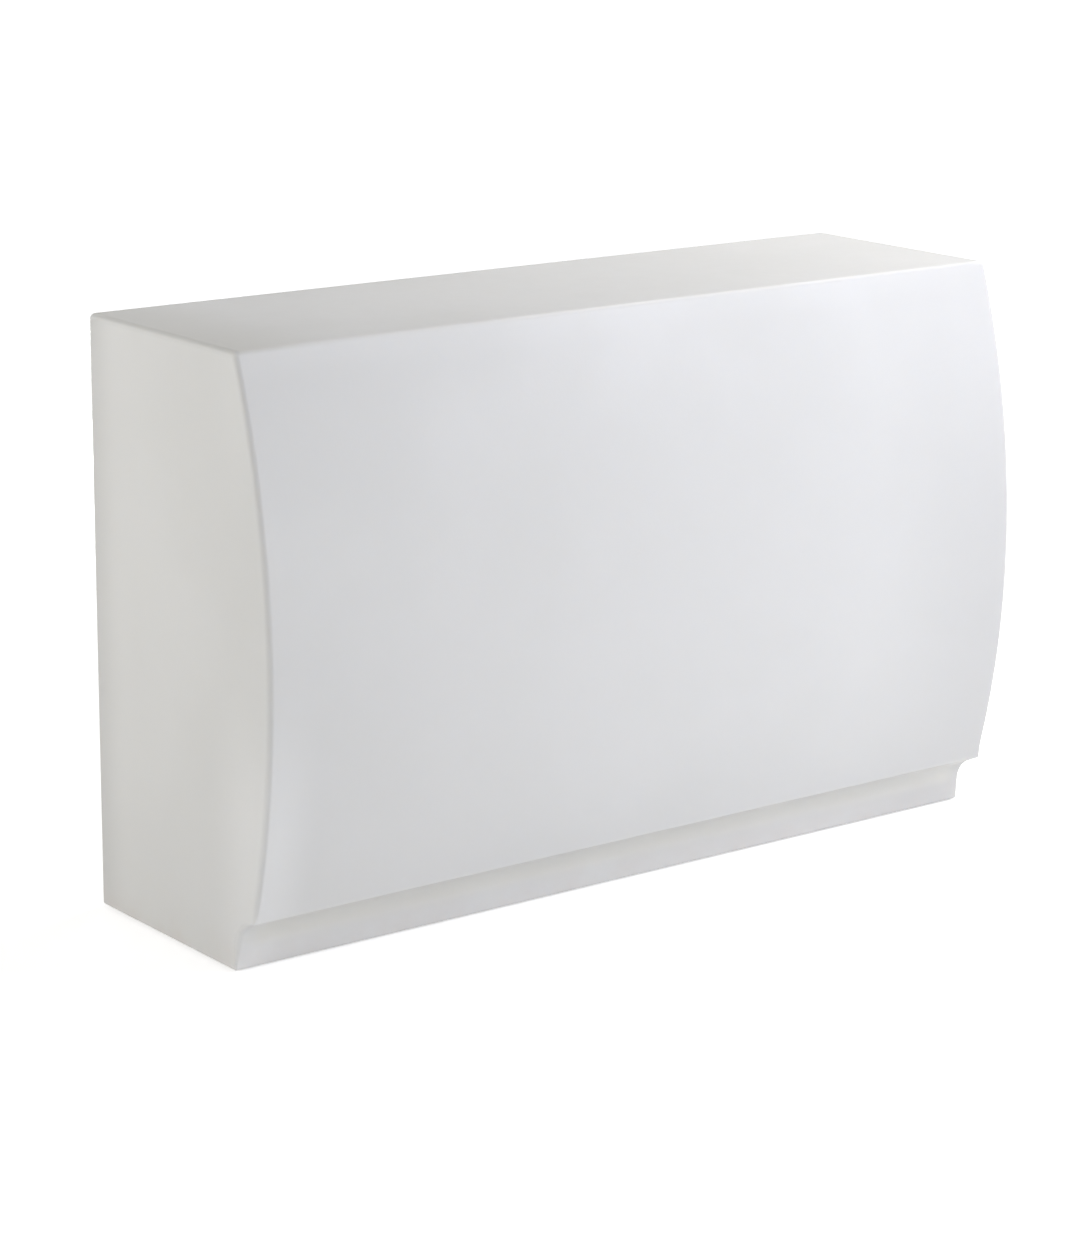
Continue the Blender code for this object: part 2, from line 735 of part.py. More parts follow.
def make_shelf(name, level):
    """A folded sheet trimmed to the bay's drafted sides and filleted corners."""
    shelf = folded_sheet(name, shelf_profile(level), LENGTH, SHELF_SHEET, STEEL)
    space = make_cutter(bay_form(name + " space", -SHELF_CLEARANCE))
    trim = shelf.modifiers.new("Trim to the bay", "BOOLEAN")
    trim.operation = "INTERSECT"
    trim.object = space
    screw = button_screw_mesh("Shelf screw", SHELF_SCREW_LENGTH)
    for number, (x, y, z) in enumerate(shelf_screw_places(level), 1):
        place = (x, y, z)
        cut(shelf, rod_cutter(f"{name} hole {number}", SCREW_HOLE_RADIUS, -OVERCUT, OVERCUT, place, "Y"))
        face = (x, y + SEAT + SHELF_SHEET + SEAT, z)
        add_object(f"{name}_screw_{number}", screw, ZINC, face, FACING_BACK)
    return shelf


# Fasteners


def button_screw_mesh(name, length):
    """A button-head screw along Z with its bearing face at the origin and its head above."""
    dome = arc((0, 0), 1, math.pi / 2, 0, 2)
    profile = [(SCREW_HEAD_RADIUS * r, SCREW_HEAD_HEIGHT * z) for r, z in dome]
    profile[0] = (0, SCREW_HEAD_HEIGHT)
    profile += [(SCREW_RADIUS, 0), (SCREW_RADIUS, -length + SCREW_RADIUS), (0, -length)]
    body = add_object(name, turned_mesh(name, profile, SCREW_SIDES))
    key = rod_mesh(name + " socket", hexagon_radius(SCREW_SOCKET), 0, OVERCUT, 6)
    socket = add_object(name + " socket", key)
    socket.location.z = SCREW_HEAD_HEIGHT - SCREW_SOCKET_DEPTH
    cut(body, socket)
    return finished_mesh(body, socket)


def make_hatch_screws():
    mesh = button_screw_mesh("Hatch screw", HATCH_SCREW_LENGTH)
    for number, (x, _, z) in enumerate(hatch_screw_places(), 1):
        place = (x, COVER_FACE_Y + SEAT, z)
        add_object(f"hatch_screw_{number}", mesh, ZINC, place, FACING_BACK)


def make_rivets():
    """Blind rivets through the cover and the tray's lips, each set with a tail inside."""
    grip = HATCH_SHEET + TRAY_SHEET + 3 * SEAT
    dome = arc((0, 0), 1, math.pi / 2, 0, 2)
    profile = [(RIVET_HEAD_RADIUS * r, RIVET_HEAD_HEIGHT * z) for r, z in dome]
    profile[0] = (0, RIVET_HEAD_HEIGHT)
    profile += [(RIVET_RADIUS, 0), (RIVET_RADIUS, -grip), (RIVET_TAIL_RADIUS, -grip)]
    profile += [(RIVET_TAIL_RADIUS, -grip - RIVET_TAIL_HEIGHT), (0, -grip - RIVET_TAIL_HEIGHT)]
    mesh = turned_mesh("Rivet", profile, SCREW_SIDES)
    for number, (x, y, z) in enumerate(rivet_places(), 1):
        add_object(f"tray_rivet_{number}", mesh, ALUMINIUM, (x, y + SEAT, z), FACING_BACK)


# Light hatch


def hatch_fixings():
    """The cover's holes for screws, rivets and gland, as (x, height above its middle, radius, sides)."""
    screw = (SCREW_HOLE_RADIUS, SCREW_SIDES)
    rivet = (RIVET_RADIUS + SEAT, SCREW_SIDES)
    holes = [(x, z - HATCH_Z, *screw) for x, _, z in hatch_screw_places()]
    holes += [(x, z - HATCH_Z, *rivet) for x, _, z in rivet_places()]
    return holes + [(GLAND_X, 0, GLAND_THREAD_RADIUS + SEAT, TURNED_SIDES)]


def upright_plate(name, outlines, thickness, material, back):
    """A plate that stands in the hatch's plane, with its inner face at the depth back."""
    standing = (math.pi / 2, 0, 0)
    return plate(name, outlines, thickness, material, (0, back + thickness / 2, HATCH_Z), standing)


def make_hatch():
    outlines = [hatch_outline(HATCH_LAP)]
    outlines += [circle((x, z), radius, sides) for x, z, radius, sides in hatch_fixings()]
    upright_plate("hatch_cover", outlines, HATCH_SHEET, WHITE_BOARD, COVER_Y)
    rings = [hatch_outline(HATCH_LAP - GASKET_INSET), hatch_outline(GASKET_INSET)]
    for x, _, z in hatch_screw_places():
        rings.append(circle((x, z - HATCH_Z), SCREW_HOLE_RADIUS, SCREW_SIDES))
    upright_plate("hatch_gasket", rings, GASKET_THICKNESS, BLACK_RUBBER, BAY_INNER_Y + SEAT)


# Light unit


def make_tray():
    """A folded channel whose two lips are riveted to the inside of the hatch cover."""
    half = TRAY_WIDTH / 2
    lip = COVER_Y - SEAT - TRAY_SHEET
    corners = [
        (lip, HATCH_Z - half - TRAY_LIP),
        (lip, HATCH_Z - half),
        (TRAY_WEB_Y, HATCH_Z - half),
        (TRAY_WEB_Y, HATCH_Z + half),
        (lip, HATCH_Z + half),
        (lip, HATCH_Z + half + TRAY_LIP),
    ]
    line = folded_line(corners, TRAY_BEND)
    tray = folded_sheet("light_tray", line, TRAY_LENGTH, TRAY_SHEET, ALUMINIUM)
    for number, (x, y, z) in enumerate(rivet_places(), 1):
        reach = HATCH_SHEET + TRAY_SHEET + OVERCUT
        hole = RIVET_RADIUS + SEAT
        cut(tray, rod_cutter(f"rivet hole {number}", hole, 0, -reach, (x, y, z), "Y"))
    web_holes = [(GROMMET_X, GROMMET_RADIUS + SEAT, TURNED_SIDES)]
    web_holes += [(x, SCREW_RADIUS + SEAT, SCREW_SIDES) for x in driver_screw_columns()]
    for x, radius, sides in web_holes:
        place = (x, TRAY_WEB_Y, HATCH_Z)
        cut(tray, rod_cutter(f"web hole {x:.3f}", radius, -OVERCUT, OVERCUT, place, "Y", sides))
    return tray


def make_modules():
    """Light boards along the back of the tray, each with a row of chips that faces the front."""
    pitch = MODULE_LENGTH + MODULE_GAP
    end, half = MODULE_LENGTH / 2, MODULE_WIDTH / 2
    low = -MODULE_SHEET
    board = add_object("Module board", box_mesh("Module", (-end, low, -half), (end, 0, half)))
    chips = []
    side = CHIP_SIDE / 2
    for i in range(CHIPS):
        x = MODULE_LENGTH * ((i + 0.5) / CHIPS - 0.5)
        near, far = (x - side, low - CHIP_HEIGHT, -side), (x + side, low / 2, side)
        chips.append(add_object(f"Chip {i + 1}", box_mesh("Chip", near, far)))
    join(board, *chips)
    mesh = finished_mesh(board, *chips)
    for number in range(1, MODULES + 1):
        x = pitch * (number - (MODULES + 1) / 2)
        place = (x, TRAY_WEB_Y - SEAT, HATCH_Z + MODULE_OFFSET)
        add_object(f"light_module_{number}", mesh, MODULE_WHITE, place)


def driver_screw_columns():
    reach = DRIVER_LENGTH / 2 + DRIVER_FLANGE / 2
    return [DRIVER_X - reach, DRIVER_X + reach]


def make_driver():
    """The light's driver in the tray: a housing with a flange at each end, screwed to the web."""
    web = TRAY_WEB_Y + TRAY_SHEET + SEAT
    half = DRIVER_WIDTH / 2
    end = DRIVER_LENGTH / 2
    driver = add_object(
        "led_driver",
        box_mesh("Driver housing", (-end, 0, -half), (end, DRIVER_HEIGHT, half)),
        DRIVER_WHITE,
        (DRIVER_X, web, HATCH_Z),
    )
    bevel = driver.modifiers.new("Rounded edges", "BEVEL")
    bevel.width = DRIVER_EDGE
    bevel.segments = 2
    reach = end + DRIVER_FLANGE
    low, high = (-reach, 0, -half + DRIVER_EDGE), (reach, DRIVER_FLANGE_SHEET, half - DRIVER_EDGE)
    flange = add_object("Driver flange", box_mesh("Driver flange", low, high), location=driver.location)
    join(driver, make_cutter(flange))
    screw = button_screw_mesh("Driver screw", DRIVER_SCREW_LENGTH)
    for number, x in enumerate(driver_screw_columns(), 1):
        foot = (x, web, HATCH_Z)
        cut(driver, rod_cutter(f"flange hole {number}", SCREW_HOLE_RADIUS, -OVERCUT, OVERCUT, foot, "Y"))
        place = (x, web + DRIVER_FLANGE_SHEET + SEAT, HATCH_Z)
        add_object(f"driver_screw_{number}", screw, ZINC, place, FACING_BACK)
    return driver


def make_terminal_block():
    """A screw terminal block: a rounded bar with a raised barrel for each pole."""
    web = TRAY_WEB_Y + TRAY_SHEET + SEAT
    half = BLOCK_POLES * BLOCK_PITCH / 2
    wide = BLOCK_WIDTH / 2
    base = BLOCK_HEIGHT - BLOCK_BARREL_RADIUS
    block = add_object(
        "terminal_block",
        box_mesh("Block base", (-half, 0, -wide), (half, base, wide)),
        GREY_NYLON,
        (BLOCK_X, web, HATCH_Z),
    )
    for pole in range(BLOCK_POLES):
        x = BLOCK_X + (pole + 0.5) * BLOCK_PITCH - half
        reach = wide * BLOCK_BARREL_SHARE
        barrel = rod_mesh("Barrel", BLOCK_BARREL_RADIUS, -reach, reach, SCREW_SIDES)
        join(block, make_cutter(add_object(f"Barrel {pole + 1}", barrel, None, (x, web + base, HATCH_Z))))
        top = (x, web, HATCH_Z)
        well = rod_cutter(f"Terminal {pole + 1}", BLOCK_BARREL_RADIUS / 2, base, 2 * BLOCK_HEIGHT, top, "Y")
        cut(block, well)
    return block


def lead(name, corners):
    """A fixed lead: a round tube along straight runs with rounded bends."""
    points = folded_line(corners, LEAD_BEND, 4)
    curve = bpy.data.curves.new(name, "CURVE")
    curve.dimensions = "3D"
    curve.bevel_depth = LEAD_RADIUS
    curve.bevel_resolution = 1
    curve.use_fill_caps = True
    spline = curve.splines.new("POLY")
    spline.points.add(len(points) - 1)
    for knot, point in zip(spline.points, points):
        knot.co = (*point, 1)
    return add_object(name, curve, BLACK_RUBBER)


def make_leads():
    """The two leads on the tray: block to driver, and driver through the grommet to the boards."""
    web = TRAY_WEB_Y + TRAY_SHEET
    block_end = BLOCK_X + BLOCK_POLES * BLOCK_PITCH / 2 + SEAT
    block_level = web + BLOCK_HEIGHT / 2
    driver_start = DRIVER_X - DRIVER_LENGTH / 2 - SEAT
    driver_level = web + DRIVER_HEIGHT / 2
    step = (driver_start - block_end) / 3
    supply = [
        (block_end, block_level, HATCH_Z),
        (block_end + step, block_level, HATCH_Z),
        (driver_start - step, driver_level, HATCH_Z),
        (driver_start, driver_level, HATCH_Z),
    ]
    lead("supply_lead", supply)
    behind = TRAY_WEB_Y - GROMMET_FLANGE - LEAD_BEND
    board_edge = HATCH_Z + MODULE_OFFSET - MODULE_WIDTH / 2 - SEAT
    output = [
        (DRIVER_X + DRIVER_LENGTH / 2 + SEAT, driver_level, HATCH_Z),
        (GROMMET_X, driver_level, HATCH_Z),
        (GROMMET_X, behind, HATCH_Z),
        (GROMMET_X, behind, board_edge),
    ]
    lead("light_lead", output)


def make_grommet():
    """The rubber grommet in the tray's web: a spool with a flange on each face."""
    gap = TRAY_SHEET / 2 + SEAT
    rim = gap + GROMMET_FLANGE
    bore = LEAD_RADIUS + RUNNING
    profile = [
        (bore, rim),
        (GROMMET_FLANGE_RADIUS, rim),
        (GROMMET_FLANGE_RADIUS, gap),
        (GROMMET_RADIUS, gap),
        (GROMMET_RADIUS, -gap),
        (GROMMET_FLANGE_RADIUS, -gap),
        (GROMMET_FLANGE_RADIUS, -rim),
        (bore, -rim),
    ]
    place = (GROMMET_X, TRAY_WEB_Y + TRAY_SHEET / 2, HATCH_Z)
    mesh = turned_mesh("Grommet", profile, TURNED_SIDES, closed=True)
    add_object("lead_grommet", mesh, BLACK_RUBBER, place, (math.pi / 2, 0, 0))


# Cable gland


def hexagon(name, across_flats, low, high):
    return add_object(name, rod_mesh(name, hexagon_radius(across_flats), low, high, 6))


def make_gland():
    """A cable gland with no cable: body, seal, dome nut and, behind the cover, its lock nut."""
    face = (GLAND_X, COVER_FACE_Y + SEAT, HATCH_Z)
    top = GLAND_HEX_HEIGHT + GLAND_COLLAR_HEIGHT
    tube = [
        (GLAND_COLLAR_RADIUS, top),
        (GLAND_COLLAR_RADIUS, SEAT),
        (GLAND_THREAD_RADIUS, 0),
        (GLAND_THREAD_RADIUS, -GLAND_THREAD_LENGTH),
        (GLAND_BORE_RADIUS, -GLAND_THREAD_LENGTH),
        (GLAND_BORE_RADIUS, top),
    ]
    body = add_object("Gland tube", turned_mesh("Gland tube", tube, TURNED_SIDES, closed=True))
    nut = hexagon("Gland hexagon", GLAND_HEX, 0, GLAND_HEX_HEIGHT)
    hole = GLAND_BORE_RADIUS + SEAT
    bore = add_object("Gland bore", rod_mesh("Gland bore", hole, -OVERCUT, OVERCUT, TURNED_SIDES))
    cut(nut, bore)
    join(body, nut)
    mesh = finished_mesh(body, nut, bore)
    add_object("gland_body", mesh, GREY_NYLON, face, FACING_BACK)

    seal_low = top + SEAT
    seal_high = seal_low + SEAL_HEIGHT
    seal = [
        (SEAL_RADIUS, seal_high),
        (SEAL_RADIUS, seal_low),
        (SEAL_BORE_RADIUS, seal_low),
        (SEAL_BORE_RADIUS, seal_high),
    ]
    ring = turned_mesh("Seal", seal, TURNED_SIDES, closed=True)
    add_object("gland_seal", ring, BLACK_RUBBER, face, FACING_BACK)

    low = GLAND_HEX_HEIGHT + SEAT
    skirt = low + DOME_SKIRT
    inner = GLAND_COLLAR_RADIUS + RUNNING
    roof = seal_high + SEAT
    crown = low + DOME_HEIGHT
    outer = inner + DOME_WALL
    dome = [
        (DOME_MOUTH_RADIUS, crown),
        (DOME_MOUTH_RADIUS + DOME_WALL, crown),
        (outer, skirt),
        (outer, low),
        (inner, low),
        (inner, roof),
        (DOME_MOUTH_RADIUS, roof),
    ]
    cap = add_object("Dome", turned_mesh("Dome", dome, TURNED_SIDES, closed=True))
    grip = hexagon("Dome hexagon", DOME_HEX, low, skirt)
    reach = (low - OVERCUT, skirt + OVERCUT)
    hole = add_object("Dome hole", rod_mesh("Dome hole", inner + SEAT, *reach, TURNED_SIDES))
    cut(grip, hole)
    join(cap, grip)
    add_object("gland_dome", finished_mesh(cap, grip, hole), GREY_NYLON, face, FACING_BACK)

    inside = (GLAND_X, COVER_Y - SEAT, HATCH_Z)
    locknut = hexagon("Lock nut", LOCKNUT_HEX, -LOCKNUT_HEIGHT, 0)
    thread = GLAND_THREAD_RADIUS + RUNNING
    reach = (-LOCKNUT_HEIGHT - OVERCUT, OVERCUT)
    hole = add_object("Lock nut bore", rod_mesh("Lock nut bore", thread, *reach, TURNED_SIDES))
    cut(locknut, hole)
    add_object("gland_locknut", finished_mesh(locknut, hole), GREY_NYLON, inside, FACING_BACK)


# Levelling feet


def foot_insert_mesh():
    """The threaded insert: a sleeve in the boss with a flange under the pocket's roof."""
    thread = STEM_RADIUS + RUNNING
    profile = [
        (FOOT_INSERT_RADIUS, FOOT_INSERT_LENGTH),
        (FOOT_INSERT_RADIUS, -SEAT),
        (FOOT_FLANGE_RADIUS, -SEAT),
        (FOOT_FLANGE_RADIUS, -SEAT - FOOT_FLANGE),
        (thread, -SEAT - FOOT_FLANGE),
        (thread, FOOT_INSERT_LENGTH),
    ]
    return turned_mesh("Foot insert", profile, SCREW_SIDES, closed=True)


def stem_mesh():
    """The threaded stem: ball, neck, hexagon for a spanner and a chamfered screw, from its ball up."""
    thread_low = STEM_THREAD_LOW - BALL_HEIGHT
    top = STEM_TOP - BALL_HEIGHT
    hexagon_low = STEM_HEX_LOW - BALL_HEIGHT
    neck = math.acos(BALL_NECK_RADIUS / BALL_RADIUS)
    profile = [(0, top), (STEM_RADIUS - STEM_CHAMFER, top), (STEM_RADIUS, top - STEM_CHAMFER)]
    profile += [(STEM_RADIUS, thread_low), (BALL_NECK_RADIUS, hexagon_low)]
    profile += arc((0, 0), BALL_RADIUS, neck, -math.pi / 2, 4)
    profile[-1] = (0, -BALL_RADIUS)
    stem = add_object("Stem", turned_mesh("Stem", profile, SCREW_SIDES))
    spanner = hexagon("Stem hexagon", STEM_HEX, hexagon_low, thread_low)
    join(stem, spanner)
    return finished_mesh(stem, spanner)


def pad_mesh():
    """The round pad, with a socket that holds the stem's ball past its widest part."""
    socket_radius = BALL_RADIUS + RUNNING
    profile = arc((0, BALL_HEIGHT), socket_radius, -math.pi / 2, SOCKET_LATITUDE, 4)
    profile[0] = (0, BALL_HEIGHT - socket_radius)
    mouth = profile[-1][0]
    profile += [(mouth, PAD_HEIGHT), (PAD_TOP_RADIUS, PAD_HEIGHT)]
    spread = PAD_RADIUS - PAD_TOP_RADIUS
    drop = PAD_HEIGHT - PAD_RIM
    for across, down in arc((1, 1), 1, math.pi, 1.5 * math.pi, 2)[1:]:
        profile.append((PAD_TOP_RADIUS + spread * across, PAD_HEIGHT - drop * (1 - down)))
    profile += [(PAD_RADIUS, PAD_CHAMFER), (PAD_RADIUS - PAD_CHAMFER, 0), (0, 0)]
    return turned_mesh("Pad", profile, PAD_SIDES)


def make_feet():
    insert = foot_insert_mesh()
    stem = stem_mesh()
    pad = pad_mesh()
    for name, (x, y) in foot_places().items():
        add_object("foot_insert_" + name, insert, ZINC, (x, y, POCKET_ROOF))
        add_object("foot_stem_" + name, stem, ZINC, (x, y, BALL_HEIGHT))
        add_object("foot_pad_" + name, pad, BLACK_NYLON, (x, y, 0))


def make_vent_plug():
    profile = [
        (VENT_RADIUS - STEM_CHAMFER, VENT_LENGTH),
        (VENT_RADIUS, VENT_LENGTH - STEM_CHAMFER),
        (VENT_RADIUS, -SEAT),
        (VENT_FLANGE_RADIUS, -SEAT),
        (VENT_FLANGE_RADIUS, -SEAT - VENT_FLANGE),
        (VENT_BORE_RADIUS, -SEAT - VENT_FLANGE),
        (VENT_BORE_RADIUS, VENT_LENGTH),
    ]
    mesh = turned_mesh("Vent plug", profile, SCREW_SIDES, closed=True)
    add_object("vent_plug", mesh, BLACK_NYLON, (VENT_X, BACK_Y - VENT_INSET, BASE_LIFT))


def smooth_round_pieces():
    for obj in COUNTER.objects:
        if obj.type == "MESH":
            obj.data.shade_smooth()
            obj.data.set_sharp_from_angle(angle=CRISP_EDGE)


def main():
    make_shell()
    make_shelf("shelf_lower", LOWER_SHELF)
    make_shelf("shelf_upper", UPPER_SHELF)
    make_hatch()
    make_hatch_screws()
    make_tray()
    make_rivets()
    make_modules()
    make_driver()
    make_terminal_block()
    make_grommet()
    make_leads()
    make_gland()
    make_feet()
    make_vent_plug()
    smooth_round_pieces()


main()
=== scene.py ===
"""Bar counter: the dressed pieces over the fixed frame, laid out as a Blender add-on.

The moulded body is drawn from its side view with Geometry Nodes, then its service bay, runners,
foot pockets and hatch opening are cut. Shelves, hatch, gland, feet and fasteners are made piece by
piece, each where the frame has it, and every surface has a procedural finish.
Everything is in metres with +Z up; the bowed front faces -Y and the service bay faces +Y.
"""

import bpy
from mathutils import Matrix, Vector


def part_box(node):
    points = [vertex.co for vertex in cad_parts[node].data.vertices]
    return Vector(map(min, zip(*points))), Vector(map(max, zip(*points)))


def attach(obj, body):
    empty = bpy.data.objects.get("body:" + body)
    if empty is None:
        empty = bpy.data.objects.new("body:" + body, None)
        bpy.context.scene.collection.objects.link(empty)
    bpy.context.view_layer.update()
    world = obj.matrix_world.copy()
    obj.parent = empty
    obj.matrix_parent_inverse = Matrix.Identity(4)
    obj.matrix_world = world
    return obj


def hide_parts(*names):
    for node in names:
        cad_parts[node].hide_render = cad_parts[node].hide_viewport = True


bl_info = {
    "name": "Bar Counter",
    "version": (1, 0, 0),
    "blender": (4, 5, 0),
    "location": "3D View > Sidebar > Bar Counter",
    "description": "Builds a moulded bar counter over its fixed frame, one piece at a time",
    "category": "Object",
}

import math

import bmesh
import bpy
from bpy.props import FloatProperty, FloatVectorProperty, IntProperty, PointerProperty
from bpy.types import Operator, Panel, PropertyGroup
from mathutils import Matrix, Vector

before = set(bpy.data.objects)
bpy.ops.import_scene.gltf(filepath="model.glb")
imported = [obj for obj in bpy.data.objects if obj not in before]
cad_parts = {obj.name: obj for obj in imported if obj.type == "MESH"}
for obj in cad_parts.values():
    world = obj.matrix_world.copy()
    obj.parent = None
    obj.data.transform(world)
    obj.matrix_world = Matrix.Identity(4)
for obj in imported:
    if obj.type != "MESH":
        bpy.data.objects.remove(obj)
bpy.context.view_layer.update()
SHELL_LOW, SHELL_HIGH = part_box("counter_shell")

FEET = ("front_left", "front_middle", "front_right", "rear_left", "rear_middle", "rear_right")
HATCH_SCREWS = tuple(f"hatch_screw_{number}" for number in range(1, 9))
SHELF_SCREWS = tuple(f"shelf_{level}_screw_{i}" for level in ("lower", "upper") for i in (1, 2))
DRIVER_SCREWS = ("driver_screw_1", "driver_screw_2")
RIVETS = tuple(f"tray_rivet_{number}" for number in range(1, 5))

# The gap kept where pieces touch, and how far a cutter runs past what it cuts
SEAT = 0.0003
OVERCUT = 0.010
# The radius that stands for an axis in a turned profile, and how near points are to be welded
AXIS = 0.00001
WELD = 0.00001
FINE_WELD = 0.000005
# The angle over which the body's edges are sharp, in degrees
BODY_CRISP = 38
# The walls round a foot's insert and round a screw in the body, and behind a screw's tip
FOOT_BOSS = 0.007
SCREW_BOSS = 0.0055
BOSS_CAP = 0.004
# Half the depth of the cutter that opens the hatch, and the steps of the hollow's hidden edges
HATCH_CUT = 0.040
HOLLOW_STEPS = 2
# How fast the rounding of an end may grow with the distance from a tight edge
END_GROWTH = 0.3
# The play round threads and the ball, and the chamfers of a screw's tip and of the gland's mouth
PLAY = 0.0004
TIP = 0.0004
# How far a rivet's broken mandrel lies in its head, and how thick its tail is
MANDREL_DEPTH = 0.0006
RIVET_TAIL = 0.002
# The chamfers of hexagons: the gland's foot and shoulder, the dome nut's shoulder, the stem's nut
GLAND_FOOT = 0.0006
GLAND_SHOULDER = 0.0008
DOME_SHOULDER = 0.0010
NUT_CHAMFER = 0.0007
# The radius of a hexagon's end face, as a share of its width: gland, dome nut, stem's nut
GLAND_FACE = 0.52
DOME_FACE = 0.50
NUT_FACE = 0.51
# The rounding of the seal, of the insert and of the vent plug
SEAL_ROUND = 0.0007
INSERT_ROUND = 0.0002
PLUG_ROUND = 0.0004
# The gland's divisions all round, and those of its dome
GLAND_SIDES = 72
DOME_STEPS = 7
# The thickness of a light board's sheet, and the reach of a mask over the face it marks
BOARD_SHEET = 0.0016
FACE_REACH = 0.0001
EDGE_REACH = 0.0005
# The grip flutes of a foot's pad: how far in from the rim they begin, and how deep they are
FLUTE_WIDTH = 0.0015
FLUTE_DEPTH = 0.0008
# The kinds of socket that a tree's inputs have, by what they start from
SOCKET_KINDS = {float: "NodeSocketFloat", int: "NodeSocketInt", type(None): "NodeSocketObject"}


# Properties


def metres(name, description, default):
    return FloatProperty(
        name=name, description=description, default=default, min=0.0, precision=4, unit="LENGTH"
    )


def degrees(name, description, default):
    return FloatProperty(
        name=name, description=description, default=math.radians(default), subtype="ANGLE"
    )


def amount(name, description, default):
    return FloatProperty(name=name, description=description, default=default, min=0.0)


def count(name, description, default):
    return IntProperty(name=name, description=description, default=default, min=1)


def colour(name, description, default):
    return FloatVectorProperty(
        name=name, description=description, default=default, size=3,
        min=0.0, max=1.0, subtype="COLOR",
    )


class CounterBody(PropertyGroup):
    """Sizes of the moulded body and its service bay."""

    length: metres("Length", "Length from end to end", SHELL_HIGH.x - SHELL_LOW.x)
    height: metres("Height", "Height of the bar top over the floor", SHELL_HIGH.z)
    depth: metres("Depth", "Depth at the bow's fullest point", SHELL_HIGH.y - SHELL_LOW.y)
    back: metres("Back", "Distance of the back plane from the middle", SHELL_HIGH.y)
    lift: metres("Lift", "Height of the base over the floor", SHELL_LOW.z)
    top_depth: metres("Top depth", "Depth of the flat bar top", 0.500)
    ledge_depth: metres("Ledge depth", "Depth at the lower edge of the bow", 0.536)
    plinth_depth: metres("Plinth depth", "Depth of the base", 0.472)
    ledge_height: metres("Ledge height", "Height of the bow's lower edge", 0.109)
    ledge_slope: degrees("Ledge slope", "Slope of the underside of the bow's lower edge", 27)
    plinth_lean: degrees("Plinth lean", "Lean of the plinth from upright", 9)
    cove_radius: metres("Cove radius", "Radius of the hollow over the plinth", 0.060)
    wall: metres("Wall", "Thickness of the moulded wall", 0.006)
    edge_radius: metres("Edge radius", "Rounding of the top and end edges", 0.012)
    ledge_radius: metres("Ledge radius", "Rounding of the bow's lower edge", 0.004)
    base_radius: metres("Base radius", "Rounding of the base's edges", 0.005)
    bay_side: metres("Bay side", "Width of the body beside the bay's mouth", 0.085)
    bay_roof: metres("Bay roof", "Thickness of the body over the bay's mouth", 0.075)
    bay_floor: metres("Bay floor", "Height of the bay's floor at its mouth", 0.110)
    bay_depth: metres("Bay depth", "Depth of the service bay", 0.375)
    bay_draft: degrees("Bay draft", "Draft of the bay's sides", 1.5)
    bay_corner: metres("Bay corner", "Radius of the bay's section", 0.035)
    bay_fillet: metres("Bay fillet", "Radius where the bay meets its back wall", 0.020)
    mouth_radius: metres("Mouth radius", "Roll of the bay's mouth", 0.010)
    runner_width: metres("Runner width", "How far a shelf runner stands out of the wall", 0.022)
    runner_height: metres("Runner height", "Height of a shelf runner", 0.040)
    runner_toe: metres("Runner toe", "How much a runner's foot is drawn in", 0.004)
    runner_setback: metres("Runner setback", "Gap between a runner's end and the back plane", 0.030)
    runner_round: metres("Runner round", "Rounding of a runner's end", 0.008)
    bow_steps: count("Bow steps", "Divisions of the bowed front", 48)
    edge_steps: count("Edge steps", "Divisions of each rounded edge", 6)


class CounterShelves(PropertyGroup):
    """Sizes of the two folded steel shelves."""

    lower: metres("Lower level", "Height of the lower runner's top", 0.466)
    upper: metres("Upper level", "Height of the upper runner's top", 0.814)
    sheet: metres("Sheet", "Thickness of the steel", 0.0015)
    clearance: metres("Clearance", "Play between the shelf and the bay", 0.003)
    upstand: metres("Upstand", "Height of the upstand at the back", 0.025)
    nose_drop: metres("Nose drop", "How far the nose hangs below the runner", 0.004)
    hem: metres("Hem", "Width of the hem under the nose", 0.010)
    bend: metres("Bend", "Radius of the folds", 0.003)
    bend_steps: count("Bend steps", "Divisions of each fold", 6)


class CounterFasteners(PropertyGroup):
    """Sizes of the screws and rivets."""

    head_radius: metres("Head radius", "Radius of a screw's button head", 0.00475)
    head_height: metres("Head height", "Height of a screw's button head", 0.0028)
    shank_radius: metres("Shank radius", "Radius of a screw's shank", 0.0025)
    socket: metres("Socket", "Width across the flats of the screw's socket", 0.0030)
    socket_depth: metres("Socket depth", "Depth of the screw's socket", 0.0016)
    hole_radius: metres("Hole radius", "Radius of a screw's clearance hole", 0.0032)
    shelf_length: metres("Shelf screw", "Length of a shelf screw", 0.012)
    hatch_length: metres("Hatch screw", "Length of a hatch screw", 0.020)
    driver_length: metres("Driver screw", "Length of a driver screw", 0.009)
    rivet_radius: metres("Rivet radius", "Radius of a rivet's shank", 0.0024)
    rivet_head_radius: metres("Rivet head radius", "Radius of a rivet's head", 0.0045)
    rivet_head_height: metres("Rivet head height", "Height of a rivet's head", 0.0013)
    seed: count("Seed", "Fixes how far each screw is turned", 4)


